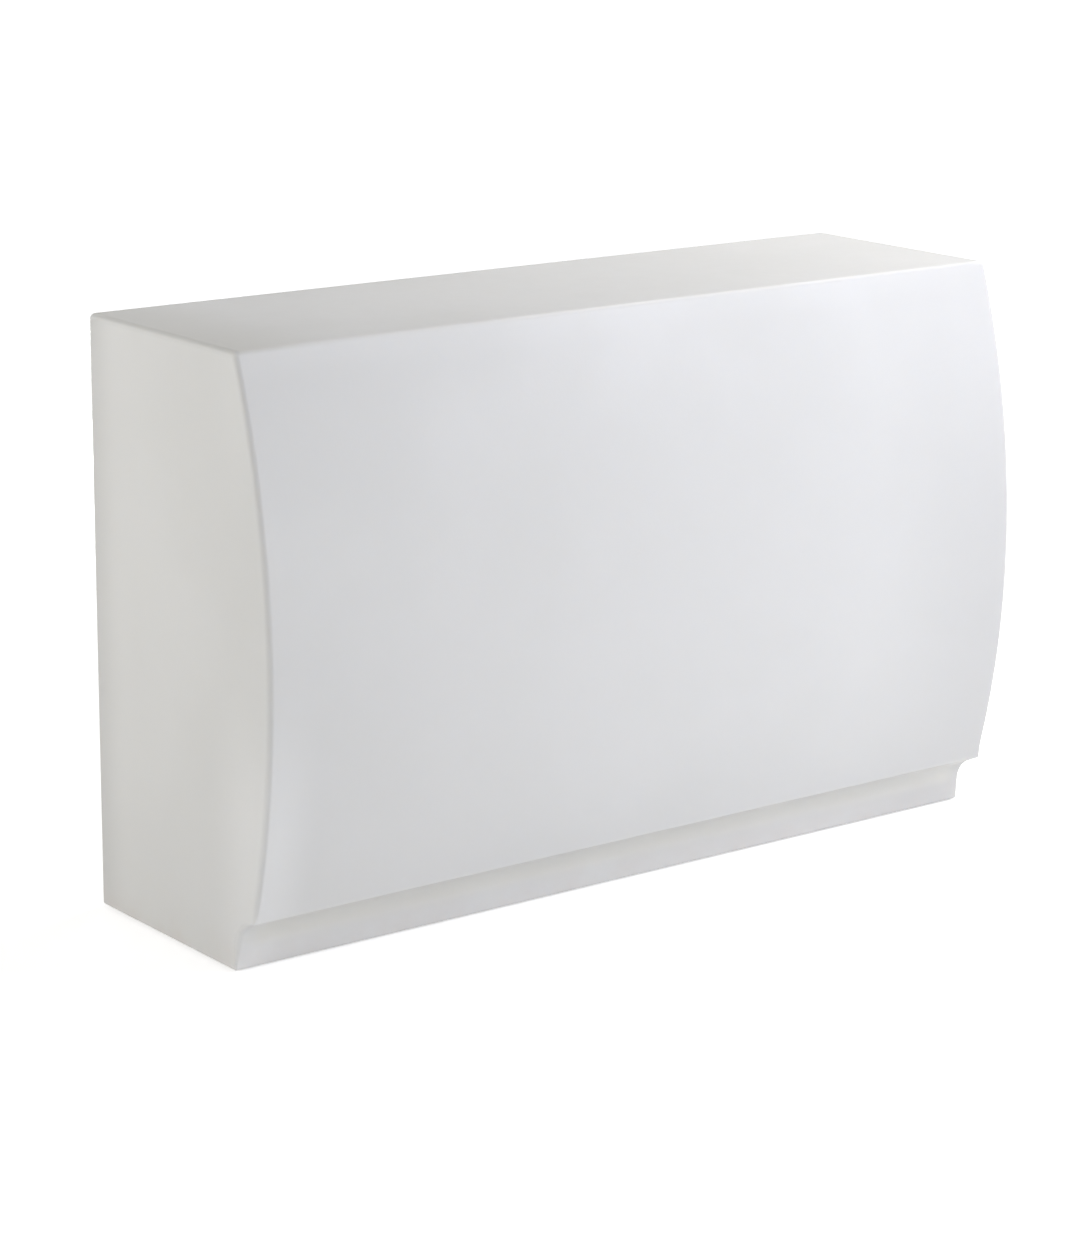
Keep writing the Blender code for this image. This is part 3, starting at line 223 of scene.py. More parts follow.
class CounterHatch(PropertyGroup):
    """Sizes of the light hatch and the cable gland in it."""

    length: metres("Length", "Length of the opening", 1.300)
    height: metres("Height", "Height of the opening", 0.150)
    corner: metres("Corner", "Radius of the opening's corners", 0.020)
    lap: metres("Lap", "How far the cover laps over the wall", 0.030)
    sheet: metres("Sheet", "Thickness of the cover", 0.005)
    chamfer: metres("Chamfer", "Chamfer round the cover's edges", 0.0006)
    thread_radius: metres("Gland thread", "Radius of the gland's thread", 0.0100)
    gland_hexagon: metres("Gland hexagon", "Width across the gland's flats", 0.024)
    hexagon_height: metres("Hexagon height", "Height of the gland's hexagon", 0.006)
    collar_radius: metres("Collar radius", "Radius of the gland's collar", 0.0095)
    collar_height: metres("Collar height", "Height of the gland's collar", 0.008)
    thread_length: metres("Thread length", "Length of the gland's thread", 0.014)
    bore_radius: metres("Bore radius", "Radius of the gland's bore", 0.0060)
    dome_skirt: metres("Dome skirt", "Height of the dome nut's hexagon", 0.009)
    dome_height: metres("Dome height", "Height of the dome nut", 0.016)
    dome_mouth: metres("Dome mouth", "Radius of the dome nut's mouth", 0.0065)
    dome_wall: metres("Dome wall", "Thickness of the dome nut", 0.0018)
    seal_radius: metres("Seal radius", "Radius of the rubber seal", 0.0085)
    seal_bore: metres("Seal bore", "Radius of the seal's bore", 0.0035)
    seal_height: metres("Seal height", "Height of the rubber seal", 0.0040)


class CounterFeet(PropertyGroup):
    """Sizes of the levelling feet and of the plug that vents the body."""

    pocket_radius: metres("Pocket radius", "Radius of the pocket round a foot", 0.040)
    pocket_depth: metres("Pocket depth", "Depth of the pocket round a foot", 0.031)
    pad_radius: metres("Pad radius", "Radius of a foot's pad", 0.030)
    pad_rim: metres("Pad rim", "Height of the pad's rim", 0.006)
    pad_height: metres("Pad height", "Height of a foot's pad", 0.0185)
    pad_top_radius: metres("Pad top radius", "Radius of the pad's top", 0.0110)
    flutes: count("Flutes", "Grip flutes round the pad's rim", 24)
    ball_radius: metres("Ball radius", "Radius of the stem's ball", 0.0062)
    ball_height: metres("Ball height", "Height of the ball's middle", 0.0125)
    neck_radius: metres("Neck radius", "Radius of the stem over its ball", 0.0040)
    stem_radius: metres("Stem radius", "Outer radius of the stem's thread", 0.005)
    stem_length: metres("Stem length", "Length of the stem's thread", 0.044)
    stem_hexagon: metres("Stem hexagon", "Width across the stem's flats", 0.014)
    hexagon_height: metres("Hexagon height", "Height of the stem's hexagon", 0.006)
    chamfer: metres("Chamfer", "Chamfer of the turned edges", 0.001)
    pitch: metres("Pitch", "Pitch of the stem's thread", 0.0015)
    insert_radius: metres("Insert radius", "Radius of the threaded insert", 0.009)
    insert_length: metres("Insert length", "Length of the threaded insert", 0.036)
    flange_radius: metres("Flange radius", "Radius of the insert's flange", 0.014)
    flange: metres("Flange", "Thickness of the insert's flange", 0.0015)
    vent_radius: metres("Vent radius", "Radius of the vent plug", 0.009)
    vent_flange_radius: metres("Vent flange radius", "Radius of the vent plug's flange", 0.013)
    vent_flange: metres("Vent flange", "Thickness of the vent plug's flange", 0.002)
    vent_length: metres("Vent length", "Length of the vent plug", 0.016)
    vent_bore: metres("Vent bore", "Radius of the vent plug's bore", 0.003)


class CounterColours(PropertyGroup):
    """Colours of the counter's finishes."""

    body: colour("Body", "Opal polyethylene of the body", (0.80, 0.80, 0.79))
    body_shade: colour("Body mottle", "The moulding's denser patches", (0.765, 0.765, 0.75))
    steel: colour("Shelves", "Brushed stainless steel", (0.62, 0.62, 0.61))
    zinc: colour("Fasteners", "Zinc-plated steel", (0.55, 0.56, 0.58))
    aluminium: colour("Light tray", "Mill-finish aluminium", (0.75, 0.76, 0.77))
    laminate: colour("Hatch", "White laminate face", (0.78, 0.78, 0.77))
    core: colour("Hatch core", "Dark core at the laminate's edges", (0.035, 0.024, 0.018))
    rubber: colour("Rubber", "Gasket, seal, leads and grommet", (0.030, 0.030, 0.030))
    black_nylon: colour("Foot pads", "Black polyamide", (0.040, 0.040, 0.045))
    grey_nylon: colour("Gland", "Grey polyamide", (0.45, 0.46, 0.47))
    driver: colour("Driver", "White moulded housing", (0.72, 0.72, 0.70))
    board: colour("Light board", "White solder mask", (0.80, 0.80, 0.76))
    chip: colour("Chip housings", "White housings of the chips", (0.70, 0.70, 0.68))
    phosphor: colour("Light chips", "Yellow phosphor of the chips", (0.80, 0.62, 0.12))
    # Painted shade on the bar top's near end
    top_tip_painted_shade: colour("Top's tip", "The bar top at its near end", (0.695, 0.69, 0.66))
    # Painted light: a lighter warm tone in the cove, where shade falls
    cove_painted_light: colour("Cove bloom", "Warm bloom in the cove", (0.84, 0.83, 0.785))
    # Partly wear, partly a painted reflection of warm light bounced off the floor
    foot_wear_and_painted_bounce: colour("Rubbed foot", "The body's foot where it is rubbed", (0.74, 0.68, 0.64))
    dust: colour("Dust", "Dust on the body", (0.60, 0.58, 0.54))
    plastic_dust: colour("Plastic dust", "Dust on the plastic pieces", (0.42, 0.40, 0.36))
    rubber_dust: colour("Rubber dust", "Dust on rubber", (0.30, 0.29, 0.27))
    rubber_bloom: colour("Rubber bloom", "Grey bloom on rubber", (0.055, 0.054, 0.052))
    zinc_bloom: colour("Zinc bloom", "Cloudy bloom of the plating", (0.47, 0.49, 0.53))
    zinc_worn: colour("Worn zinc", "Plating where it is handled", (0.72, 0.72, 0.71))


class CounterStage(PropertyGroup):
    """Levels of the studio light."""

    left: amount("Left", "Power of the light on the near end", 74.5)
    front: amount("Front", "Power of the broad low light before the front", 73.0)
    right: amount("Right", "Power of the light before the far end", 32.5)
    near_right: amount("Near right", "Power of the small light on the bow's upper right", 46.0)
    top: amount("Top", "Power of the light over the bar top", 65.5)
    service: amount("Service", "Power of the light on the service side", 82.0)
    ambient: amount("Ambient", "Strength of the light from all round", 0.12)
    floor: amount("Floor glow", "How much the floor is lifted towards white", 0.55)


# Node trees


def socket_of(sockets, key):
    """A node's socket by number, or by name among those in use."""
    if isinstance(key, int):
        return sockets[key]
    return next(socket for socket in sockets if socket.name == key and socket.enabled)


class Nodes:
    """Adds nodes to a tree, each socket linked or set as it is named."""

    def __init__(self, tree):
        self.tree = tree

    def add(self, kind, sockets=None, out=0, **settings):
        """A new node's output, with its settings and sockets filled in."""
        made = self.tree.nodes.new(kind)
        made.location.x = 200 * len(self.tree.nodes)
        for name, value in settings.items():
            setattr(made, name, value)
        for key, value in (sockets or {}).items():
            self.feed(value, socket_of(made.inputs, key))
        return socket_of(made.outputs, out)

    def feed(self, value, socket):
        """Links an output to a socket, or sets the socket to a value."""
        if isinstance(value, bpy.types.NodeSocket):
            self.tree.links.new(value, socket)
        elif value is not None:
            socket.default_value = value

    def math(self, operation, *values):
        return self.add("ShaderNodeMath", dict(enumerate(values)), operation=operation)

    def plus(self, one, two):
        return self.math("ADD", one, two)

    def minus(self, one, two):
        return self.math("SUBTRACT", one, two)

    def over(self, one, two):
        return self.math("DIVIDE", one, two)

    def times(self, first, *factors):
        for factor in factors:
            first = self.math("MULTIPLY", first, factor)
        return first

    def vector(self, operation, *values, out=0):
        return self.add("ShaderNodeVectorMath", dict(enumerate(values)), out, operation=operation)

    def scaled(self, vector, factor):
        return self.add("ShaderNodeVectorMath", {0: vector, "Scale": factor}, operation="SCALE")

    def spread(self, value, low, high, to_low=0.0, to_high=1.0):
        """A value stretched from one range to another, held inside the second."""
        sockets = {"Value": value, "From Min": low, "From Max": high}
        sockets |= {"To Min": to_low, "To Max": to_high}
        return self.add("ShaderNodeMapRange", sockets, interpolation_type="SMOOTHSTEP")

    def blend(self, factor, one, two):
        """Two colours mixed by a mask."""
        return self.add("ShaderNodeMix", {0: factor, 6: one, 7: two}, out=2, data_type="RGBA")

    def noise(self, place, scale, detail=2.0, roughness=0.5):
        sockets = {"Vector": place, "Scale": scale, "Detail": detail, "Roughness": roughness}
        return self.add("ShaderNodeTexNoise", sockets)

    def part(self, vector, axis):
        made = self.tree.nodes.new("ShaderNodeSeparateXYZ")
        self.feed(vector, made.inputs[0])
        return made.outputs[axis]

    def parts(self, vector):
        return [self.part(vector, axis) for axis in range(3)]

    def join(self, x, y, z):
        return self.add("ShaderNodeCombineXYZ", {0: x, 1: y, 2: z})


def new_tree(name, kind, inputs, outputs):
    """A node group with named sockets, and its input and output nodes."""
    tree = bpy.data.node_groups.new(name, kind)
    for label, socket_type, default in inputs:
        socket = tree.interface.new_socket(label, in_out="INPUT", socket_type=socket_type)
        if default is not None:
            socket.default_value = default
    for label, socket_type in outputs:
        tree.interface.new_socket(label, in_out="OUTPUT", socket_type=socket_type)
    given = tree.nodes.new("NodeGroupInput").outputs
    result = tree.nodes.new("NodeGroupOutput").inputs
    return Nodes(tree), given, result


def typed(sizes):
    """Inputs with the kind of socket that each starting value needs."""
    return [(label, SOCKET_KINDS[type(value)], value) for label, value in sizes.items()]


def geometry_tree(name, sizes):
    """A Geometry Nodes tree that takes a geometry, sizes and a material."""
    geometry = ("Geometry", "NodeSocketGeometry")
    inputs = [(*geometry, None), *typed(sizes), ("Material", "NodeSocketMaterial", None)]
    return new_tree(name, "GeometryNodeTree", inputs, [geometry])


def end_geometry_tree(nodes, geometry, given, result):
    """Closes a tree with real geometry in one material."""
    real = nodes.add("GeometryNodeRealizeInstances", {"Geometry": geometry})
    done = nodes.add("GeometryNodeSetMaterial", {"Geometry": real, "Material": given["Material"]})
    nodes.feed(done, result["Geometry"])
    return nodes.tree


def placed_vertices(nodes, geometry, position):
    return nodes.add("GeometryNodeSetPosition", {"Geometry": geometry, "Position": position})


def drawn_body_tree():
    """Draws an outline out along X and rounds each end's edge by the outline's own radius."""
    nodes, given, result = geometry_tree("Drawn body", {"Length": 1.8, "Steps": 6})
    outline, steps = given["Geometry"], given["Steps"]

    def attribute(name, kind):
        sockets = {"Name": name}
        return nodes.add("GeometryNodeInputNamedAttribute", sockets, "Attribute", data_type=kind)

    inset = attribute("inset", "FLOAT_VECTOR")
    radius = attribute("end_radius", "FLOAT")
    position = nodes.add("GeometryNodeInputPosition")
    total = nodes.add("GeometryNodeAttributeDomainSize", {"Geometry": outline}, "Point Count")
    columns = nodes.times(nodes.plus(steps, 1.0), 2.0)
    around = nodes.plus(total, 1.0)
    grid = nodes.add("GeometryNodeMeshGrid", {"Vertices X": around, "Vertices Y": columns}, "Mesh")
    index = nodes.add("GeometryNodeInputIndex")
    row = nodes.math("FLOOR", nodes.over(index, columns))
    column = nodes.minus(index, nodes.times(row, columns))
    source = nodes.math("MODULO", row, total)

    def sampled(value, kind):
        sockets = {"Geometry": outline, "Value": value, "Index": source}
        return nodes.add("GeometryNodeSampleIndex", sockets, data_type=kind)

    here = sampled(position, "FLOAT_VECTOR")
    turn_in = sampled(inset, "FLOAT_VECTOR")
    reach = sampled(radius, "FLOAT")
    far = nodes.math("GREATER_THAN", column, nodes.plus(steps, 0.5))
    mirrored = nodes.minus(nodes.minus(columns, 1.0), nodes.times(column, 2.0))
    step = nodes.plus(column, nodes.times(far, mirrored))
    share = nodes.minus(1.0, nodes.over(step, steps))
    angle = nodes.times(share, math.pi / 2)
    half = nodes.times(given["Length"], 0.5)
    rise = nodes.times(reach, nodes.minus(1.0, nodes.math("SINE", angle)))
    side = nodes.minus(nodes.times(far, 2.0), 1.0)
    axial = nodes.times(side, nodes.minus(half, rise))
    inwards = nodes.times(reach, nodes.minus(1.0, nodes.math("COSINE", angle)))
    moved = nodes.vector("ADD", here, nodes.scaled(turn_in, inwards))
    drawn = nodes.join(axial, nodes.part(moved, 0), nodes.part(moved, 1))
    skin = placed_vertices(nodes, grid, drawn)

    rim = nodes.vector("ADD", position, nodes.scaled(inset, radius))
    pieces = [skin]
    for direction in (-1.0, 1.0):
        end = nodes.times(half, direction)
        edge = nodes.join(end, nodes.part(rim, 0), nodes.part(rim, 1))
        cap = placed_vertices(nodes, outline, edge)
        pieces.append(nodes.add("GeometryNodeFlipFaces", {"Mesh": cap}) if direction < 0 else cap)
    joined = nodes.tree.nodes.new("GeometryNodeJoinGeometry")
    for piece in pieces:
        nodes.feed(piece, joined.inputs[0])
    sockets = {"Geometry": joined.outputs[0], "Distance": WELD}
    welded = nodes.add("GeometryNodeMergeByDistance", sockets)
    return end_geometry_tree(nodes, welded, given, result)


def fastener_tree():
    """Stands a fastener on each point, facing the service side and turned by chance."""
    nodes, given, result = geometry_tree("Fasteners", {"Fastener": None, "Seed": 4})
    shape = nodes.add("GeometryNodeObjectInfo", {"Object": given["Fastener"]}, "Geometry")
    spin = nodes.add("FunctionNodeRandomValue", {"Max": math.tau, "Seed": given["Seed"]}, "Value")
    turned = nodes.add("FunctionNodeEulerToRotation", {0: nodes.join(-math.pi / 2, spin, 0.0)})
    sockets = {"Points": given["Geometry"], "Instance": shape, "Rotation": turned}
    standing = nodes.add("GeometryNodeInstanceOnPoints", sockets)
    return end_geometry_tree(nodes, standing, given, result)


def thread_tree():
    """A threaded rod along Z: a grid wrapped round it, raised along a helix."""
    sizes = {"Radius": 0.005, "Depth": 0.0009, "Pitch": 0.0015, "Length": 0.044, "Start": 0.0}
    nodes, given, result = geometry_tree("Threaded rod", sizes | {"Sides": 24, "Rows": 6})
    length, pitch = given["Length"], given["Pitch"]
    turns = nodes.over(length, pitch)
    rows = nodes.math("CEIL", nodes.times(turns, given["Rows"]))
    columns = nodes.plus(given["Sides"], 1.0)
    sockets = {"Vertices X": columns, "Vertices Y": nodes.plus(rows, 1.0)}
    grid = nodes.add("GeometryNodeMeshGrid", sockets, "Mesh")
    index = nodes.add("GeometryNodeInputIndex")
    high = nodes.plus(rows, 1.0)
    column = nodes.math("FLOOR", nodes.over(index, high))
    row = nodes.minus(index, nodes.times(column, high))
    height = nodes.times(nodes.over(row, rows), length)
    round_share = nodes.over(column, given["Sides"])
    phase = nodes.math("FRACT", nodes.minus(nodes.over(height, pitch), round_share))
    ridge = nodes.math("ABSOLUTE", nodes.minus(nodes.times(phase, 2.0), 1.0))
    crest = nodes.spread(ridge, 0.1, 0.9)
    near_end = nodes.math("MINIMUM", height, nodes.minus(length, height))
    fade = nodes.spread(near_end, 0.0, pitch)
    groove = nodes.minus(1.0, nodes.times(crest, fade))
    radius = nodes.minus(given["Radius"], nodes.times(given["Depth"], groove))
    angle = nodes.times(round_share, math.tau)
    x = nodes.times(radius, nodes.math("COSINE", angle))
    y = nodes.times(radius, nodes.math("SINE", angle))
    wrapped = placed_vertices(nodes, grid, nodes.join(x, y, nodes.plus(height, given["Start"])))
    welded = nodes.add("GeometryNodeMergeByDistance", {"Geometry": wrapped, "Distance": WELD})
    return end_geometry_tree(nodes, welded, given, result)


def grown(obj, tree, **values):
    """The mesh that a Geometry Nodes tree makes of an object, with its inputs set by identifier."""
    modifier = obj.modifiers.new(tree.name, "NODES")
    modifier.node_group = tree
    for item in tree.interface.items_tree:
        label = item.name.lower().replace(" ", "_")
        if item.item_type == "SOCKET" and item.in_out == "INPUT" and label in values:
            modifier[item.identifier] = values[label]
    return taken_mesh(obj)


# Modelling helpers


def placed(name, data):
    """A new object in the scene for a mesh, curve, lamp or camera."""
    obj = bpy.data.objects.new(name, data)
    bpy.context.scene.collection.objects.link(obj)
    return obj


def taken_mesh(obj, *helpers):
    """The object's mesh with its modifiers applied. The object and its helpers are removed."""
    bpy.context.view_layer.update()
    graph = bpy.context.evaluated_depsgraph_get()
    mesh = bpy.data.meshes.new_from_object(obj.evaluated_get(graph))
    for used in (obj, *helpers):
        bpy.data.objects.remove(used)
    return mesh


def mesh_from(name, build):
    """A mesh that the function build fills through bmesh, with its faces turned outwards."""
    mesh = bpy.data.meshes.new(name)
    bm = bmesh.new()
    build(bm)
    bmesh.ops.recalc_face_normals(bm, faces=bm.faces)
    bm.to_mesh(mesh)
    bm.free()
    return mesh


def turned_outwards(mesh, merge=FINE_WELD):
    bm = bmesh.new()
    bm.from_mesh(mesh)
    bmesh.ops.remove_doubles(bm, verts=bm.verts, dist=merge)
    bmesh.ops.recalc_face_normals(bm, faces=bm.faces)
    bm.to_mesh(mesh)
    bm.free()
    return mesh


def loft(name, rings, closed=False):
    """A solid through rings of points, with flat ends, or closed on itself like a tyre."""

    def build(bm):
        loops = [[bm.verts.new(point) for point in ring] for ring in rings]
        pairs = list(zip(loops, loops[1:]))
        if closed:
            pairs.append((loops[-1], loops[0]))
        for low, high in pairs:
            for i in range(len(low)):
                j = (i + 1) % len(low)
                bm.faces.new((low[i], low[j], high[j], high[i]))
        if not closed:
            bm.faces.new(loops[0])
            bm.faces.new(loops[-1])
        bmesh.ops.remove_doubles(bm, verts=bm.verts, dist=FINE_WELD)

    return mesh_from(name, build)


def ring(radius, height, sides, shape=None):
    """A ring round Z, where shape may limit or wave the radius by its angle."""
    points = []
    for i in range(sides):
        angle = math.tau * i / sides
        reach = shape(angle, radius) if shape else radius
        points.append((reach * math.cos(angle), reach * math.sin(angle), height))
    return points


def turned(name, profile, sides, closed=False, shape=None):
    """A shape turned about Z from (radius, height) points."""
    return loft(name, [ring(radius, height, sides, shape) for radius, height in profile], closed)


def arc(centre, radius, start, end, steps):
    """Points on an arc in a plane, from one angle to another."""
    angles = [start + (end - start) * i / steps for i in range(steps + 1)]
    return [(centre[0] + radius * math.cos(a), centre[1] + radius * math.sin(a)) for a in angles]


def rounded_corner(before, corner, after, radius, steps):
    """The arc that rounds the corner between two straight lines."""
    corner = Vector(corner)
    one = (Vector(before) - corner).normalized()
    two = (Vector(after) - corner).normalized()
    half_angle = one.angle(two) / 2
    centre = corner + (one + two).normalized() * radius / math.sin(half_angle)
    first = (corner + one * radius / math.tan(half_angle) - centre).normalized()
    last = (corner + two * radius / math.tan(half_angle) - centre).normalized()
    return [tuple(centre + first.slerp(last, i / steps) * radius) for i in range(steps + 1)]


def rounded_profile(corners, radius, steps, closed=False):
    """A line through corners, each inner one rounded, or each one where the line is closed."""
    points = [] if closed else [corners[0]]
    size = len(corners)
    for i in range(size) if closed else range(1, size - 1):
        points += rounded_corner(corners[i - 1], corners[i], corners[(i + 1) % size], radius, steps)
    return points if closed else points + [corners[-1]]


def rounded_rectangle(width, height, radius, steps, centre=(0.0, 0.0)):
    """The outline of a rectangle with round corners, anticlockwise."""
    points = []
    for quarter, (sx, sy) in enumerate(((1, 1), (-1, 1), (-1, -1), (1, -1))):
        middle = (centre[0] + sx * (width / 2 - radius), centre[1] + sy * (height / 2 - radius))
        start = quarter * math.pi / 2
        points += arc(middle, radius, start, start + math.pi / 2, steps)
    return points


def rod(name, radius, start, end, place, axis="Z", sides=48):
    """A round cutter from start to end along an axis, measured from its place."""
    mesh = turned(name, [(radius, start), (radius, end)], sides)
    if axis == "Y":
        mesh.transform(Matrix.Rotation(-math.pi / 2, 4, "X"))
    mesh.transform(Matrix.Translation(place))
    return placed(name, mesh)


def facing_service(mesh, place):
    """Stands a shape made along Z out of the bay's back wall, at its place."""
    mesh.transform(Matrix.Translation(place) @ Matrix.Rotation(-math.pi / 2, 4, "X"))
    return mesh


def hexagon(across_flats, crest=0.93):
    """A ring shape that keeps a hexagon's flats and chamfers its corners to a circle."""
    flat = across_flats / 2
    corner = across_flats / math.sqrt(3)

    def shape(angle, radius):
        sector = (angle + math.pi / 6) % (math.pi / 3) - math.pi / 6
        return min(flat / math.cos(math.pi / 6 - abs(sector)), radius, corner * (0.5 + crest / 2))

    return shape


def cut(obj, *cutters):
    for cutter in cutters:
        modifier = obj.modifiers.new("Cut", "BOOLEAN")
        modifier.operation = "DIFFERENCE"
        modifier.object = cutter
    return obj


def merged(name, *meshes):
    """Several meshes as one."""
    bm = bmesh.new()
    for mesh in meshes:
        bm.from_mesh(mesh)
    joined = bpy.data.meshes.new(name)
    bm.to_mesh(joined)
    bm.free()
    return joined


def even_normals(mesh):
    """Shades a corner by the areas of the smooth faces round it, so that flat faces stay flat."""
    bm = bmesh.new()
    bm.from_mesh(mesh)
    normals = [None] * len(mesh.loops)
    for vert in bm.verts:
        waiting = {loop.face: loop for loop in vert.link_loops}
        while waiting:
            fan = [waiting.popitem()[1]]
            for loop in fan:
                for edge in (loop.edge, loop.link_loop_prev.edge):
                    for face in edge.link_faces if edge.smooth else ():
                        if face in waiting:
                            fan.append(waiting.pop(face))
            total = sum((loop.face.normal * loop.face.calc_area() for loop in fan), Vector())
            for loop in fan:
                normals[loop.index] = total.normalized()
    bm.free()
    mesh.normals_split_custom_set(normals)


def settle(name, mesh, material, body, slot, *nodes, crisp=35):
    """Places a mesh as a piece: shaded, dressed, riding on its body and standing for its nodes."""
    mesh.shade_smooth()
    mesh.set_sharp_from_angle(angle=math.radians(crisp))
    mesh.materials.clear()
    mesh.materials.append(material)
    for polygon in mesh.polygons:
        polygon.material_index = 0
    piece = placed(name, mesh)
    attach(piece, body)
    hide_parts(*nodes)
    return piece


def middle_of(node):
    low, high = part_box(node)
    return (low + high) / 2


# Shared shader effects


def shader_group(name, amounts, *outputs):
    """A shader node group that takes a place and amounts and gives values."""
    inputs = [("Place", "NodeSocketVector", None), *typed(amounts)]
    outputs = [(label, "NodeSocketFloat") for label in outputs]
    return new_tree(name, "ShaderNodeTree", inputs, outputs)


def moulded_skin_group():
    """The satin orange peel and faint cloudiness of moulded plastic."""
    amounts = {"Grain": 600.0, "Cloud": 3.0}
    nodes, given, result = shader_group("Moulded skin", amounts, "Height", "Cloudiness")
    peel = nodes.noise(given["Place"], nodes.times(given["Grain"], 0.35), 1.0)
    fine = nodes.noise(given["Place"], given["Grain"], 2.0)
    height = nodes.plus(nodes.times(peel, 0.65), nodes.times(fine, 0.35))
    cloud = nodes.noise(given["Place"], given["Cloud"], 3.0, 0.55)
    nodes.feed(height, result["Height"])
    nodes.feed(nodes.spread(cloud, 0.32, 0.68), result["Cloudiness"])
    return nodes.tree


def scuffs_group():
    """Hairline scuffs: thin winding lines that show only in patches."""
    nodes, given, result = shader_group("Scuffs", {"Scale": 14.0, "Density": 0.35}, "Mask")
    stretched = nodes.vector("MULTIPLY", given["Place"], (1.0, 1.6, 3.1))
    field = nodes.noise(stretched, given["Scale"], 3.0, 0.6)
    line = nodes.math("ABSOLUTE", nodes.minus(field, 0.5))
    thin = nodes.spread(line, 0.0, 0.006, 1.0, 0.0)
    patch = nodes.noise(given["Place"], nodes.times(given["Scale"], 0.4), 1.0)
    gate = nodes.spread(patch, nodes.minus(0.85, given["Density"]), 0.9)
    nodes.feed(nodes.times(thin, gate), result["Mask"])
    return nodes.tree


def brushed_lines_group():
    """Fine lines drawn out along X, as brushing or rolling leaves them."""
    nodes, given, result = shader_group("Brushed lines", {"Fineness": 1800.0}, "Lines", "Streaks")
    drawn = nodes.vector("MULTIPLY", given["Place"], (0.012, 1.0, 1.0))
    nodes.feed(nodes.noise(drawn, given["Fineness"], 3.0, 0.6), result["Lines"])
    broad = nodes.noise(drawn, nodes.times(given["Fineness"], 0.06), 2.0)
    nodes.feed(nodes.spread(broad, 0.3, 0.7), result["Streaks"])
    return nodes.tree


def edge_wear_group():
    """A mask along outer edges, broken up by chance, where handling polishes a piece."""
    nodes, given, result = shader_group("Edge wear", {"Width": 0.0006, "Breaks": 400.0}, "Mask")
    soft = nodes.add("ShaderNodeBevel", {"Radius": given["Width"]}, samples=4)
    flat = nodes.add("ShaderNodeNewGeometry", out="Normal")
    alike = nodes.vector("DOT_PRODUCT", soft, flat, out="Value")
    edge = nodes.spread(alike, 0.99, 0.90)
    broken = nodes.spread(nodes.noise(given["Place"], given["Breaks"], 3.0), 0.35, 0.65)
    nodes.feed(nodes.times(edge, broken), result["Mask"])
    return nodes.tree


def settled_dust_group():
    """A mask of thin dust on faces that look up."""
    nodes, given, result = shader_group("Settled dust", {"Amount": 0.3}, "Mask")
    upward = nodes.part(nodes.add("ShaderNodeNewGeometry", out="Normal"), 2)
    patches = nodes.spread(nodes.noise(given["Place"], 45.0, 4.0, 0.65), 0.3, 0.75)
    mask = nodes.times(nodes.spread(upward, 0.3, 1.0), patches)
    nodes.feed(nodes.times(mask, given["Amount"]), result["Mask"])
    return nodes.tree


EFFECTS = {
    "Moulded skin": moulded_skin_group,
    "Scuffs": scuffs_group,
    "Brushed lines": brushed_lines_group,
    "Edge wear": edge_wear_group,
    "Settled dust": settled_dust_group,
}


def full(value):
    return (*value, 1.0)


def shaded(value, factor):
    return full(channel * factor for channel in value)


# Finishes


class Finish(Nodes):
    """The nodes of a new material, with its shader's sockets and the object's own coordinates."""

    def __init__(self, name, shown, roughness, metallic=0.0):
        self.material = bpy.data.materials.new(name)
        self.material.use_nodes = True
        self.material.diffuse_color = full(shown)
        super().__init__(self.material.node_tree)
        self.shader = self.tree.nodes["Principled BSDF"].inputs
        self.give({"Base Color": full(shown), "Roughness": roughness, "Metallic": metallic})
        self.place = self.tree.nodes.new("ShaderNodeTexCoord").outputs["Object"]

    def give(self, sockets):
        """Links or sets the shader's sockets by name."""
        for key, value in sockets.items():
            self.feed(value, self.shader[key])

    def bump(self, height, strength, distance):
        sockets = {"Height": height, "Strength": strength, "Distance": distance}
        self.feed(self.add("ShaderNodeBump", sockets), self.shader["Normal"])

    def cloudy(self, noise_scale, detail, low, high):
        """Soft patches, as a mask."""
        return self.spread(self.noise(self.place, noise_scale, detail, 0.6), low, high)

    def effect(self, name, out=None, **values):
        """A shared effect with its own values: the node's outputs, or one of them."""
        made = self.tree.nodes.new("ShaderNodeGroup")
        made.node_tree = bpy.data.node_groups.get(name) or EFFECTS[name]()
        made.location.x = 200 * len(self.tree.nodes)
        for key, value in {"place": self.place, **values}.items():
            self.feed(value, made.inputs[key.capitalize()])
        return made.outputs[out] if out else made.outputs


# The bands over which the body's masks come in, from the first place to the second
HALF, BACK, TOP = SHELL_HIGH
END_FACE = (HALF - 0.012, HALF - 0.001)
LONG_FACE = (HALF - 0.0005, HALF - 0.012)
UNDER_TOP = (TOP - 0.0002, TOP - 0.005)
NEAR_TOP = (TOP - 0.07, TOP)
ON_TOP = (TOP - 0.010, TOP - 0.001)
TOP_EDGE = (TOP - 0.012, TOP - 0.005)
UPPER_PART = (0.80, 1.10)
LOWER_PART = (0.60, 0.26)
TOWARDS_FOOT = (1.10, 0.40)
UNDER_LEDGE = (0.118, 0.100)
OVER_COVE = (0.035, 0.065)
AT_FOOT = (0.085, 0.004)
FRONT_SIDE = (-0.150, -0.170)
FRONT_PART = (-0.08, -0.24)
BACK_EDGE = (BACK - 0.13, BACK)
BESIDE_NEAR_END = (0.13 - HALF, 0.01 - HALF)
NEAR_TIP = (0.25 - HALF, -HALF)
NEAR_EDGE = (0.012 - HALF, 0.005 - HALF)
NEAR_ARRIS = (0.0002 - HALF, 0.0015 - HALF)
TOWARDS_FAR_END = (HALF - 0.40, HALF - 0.004)
AWAY_FROM_ENDS = (HALF, HALF - 0.06)


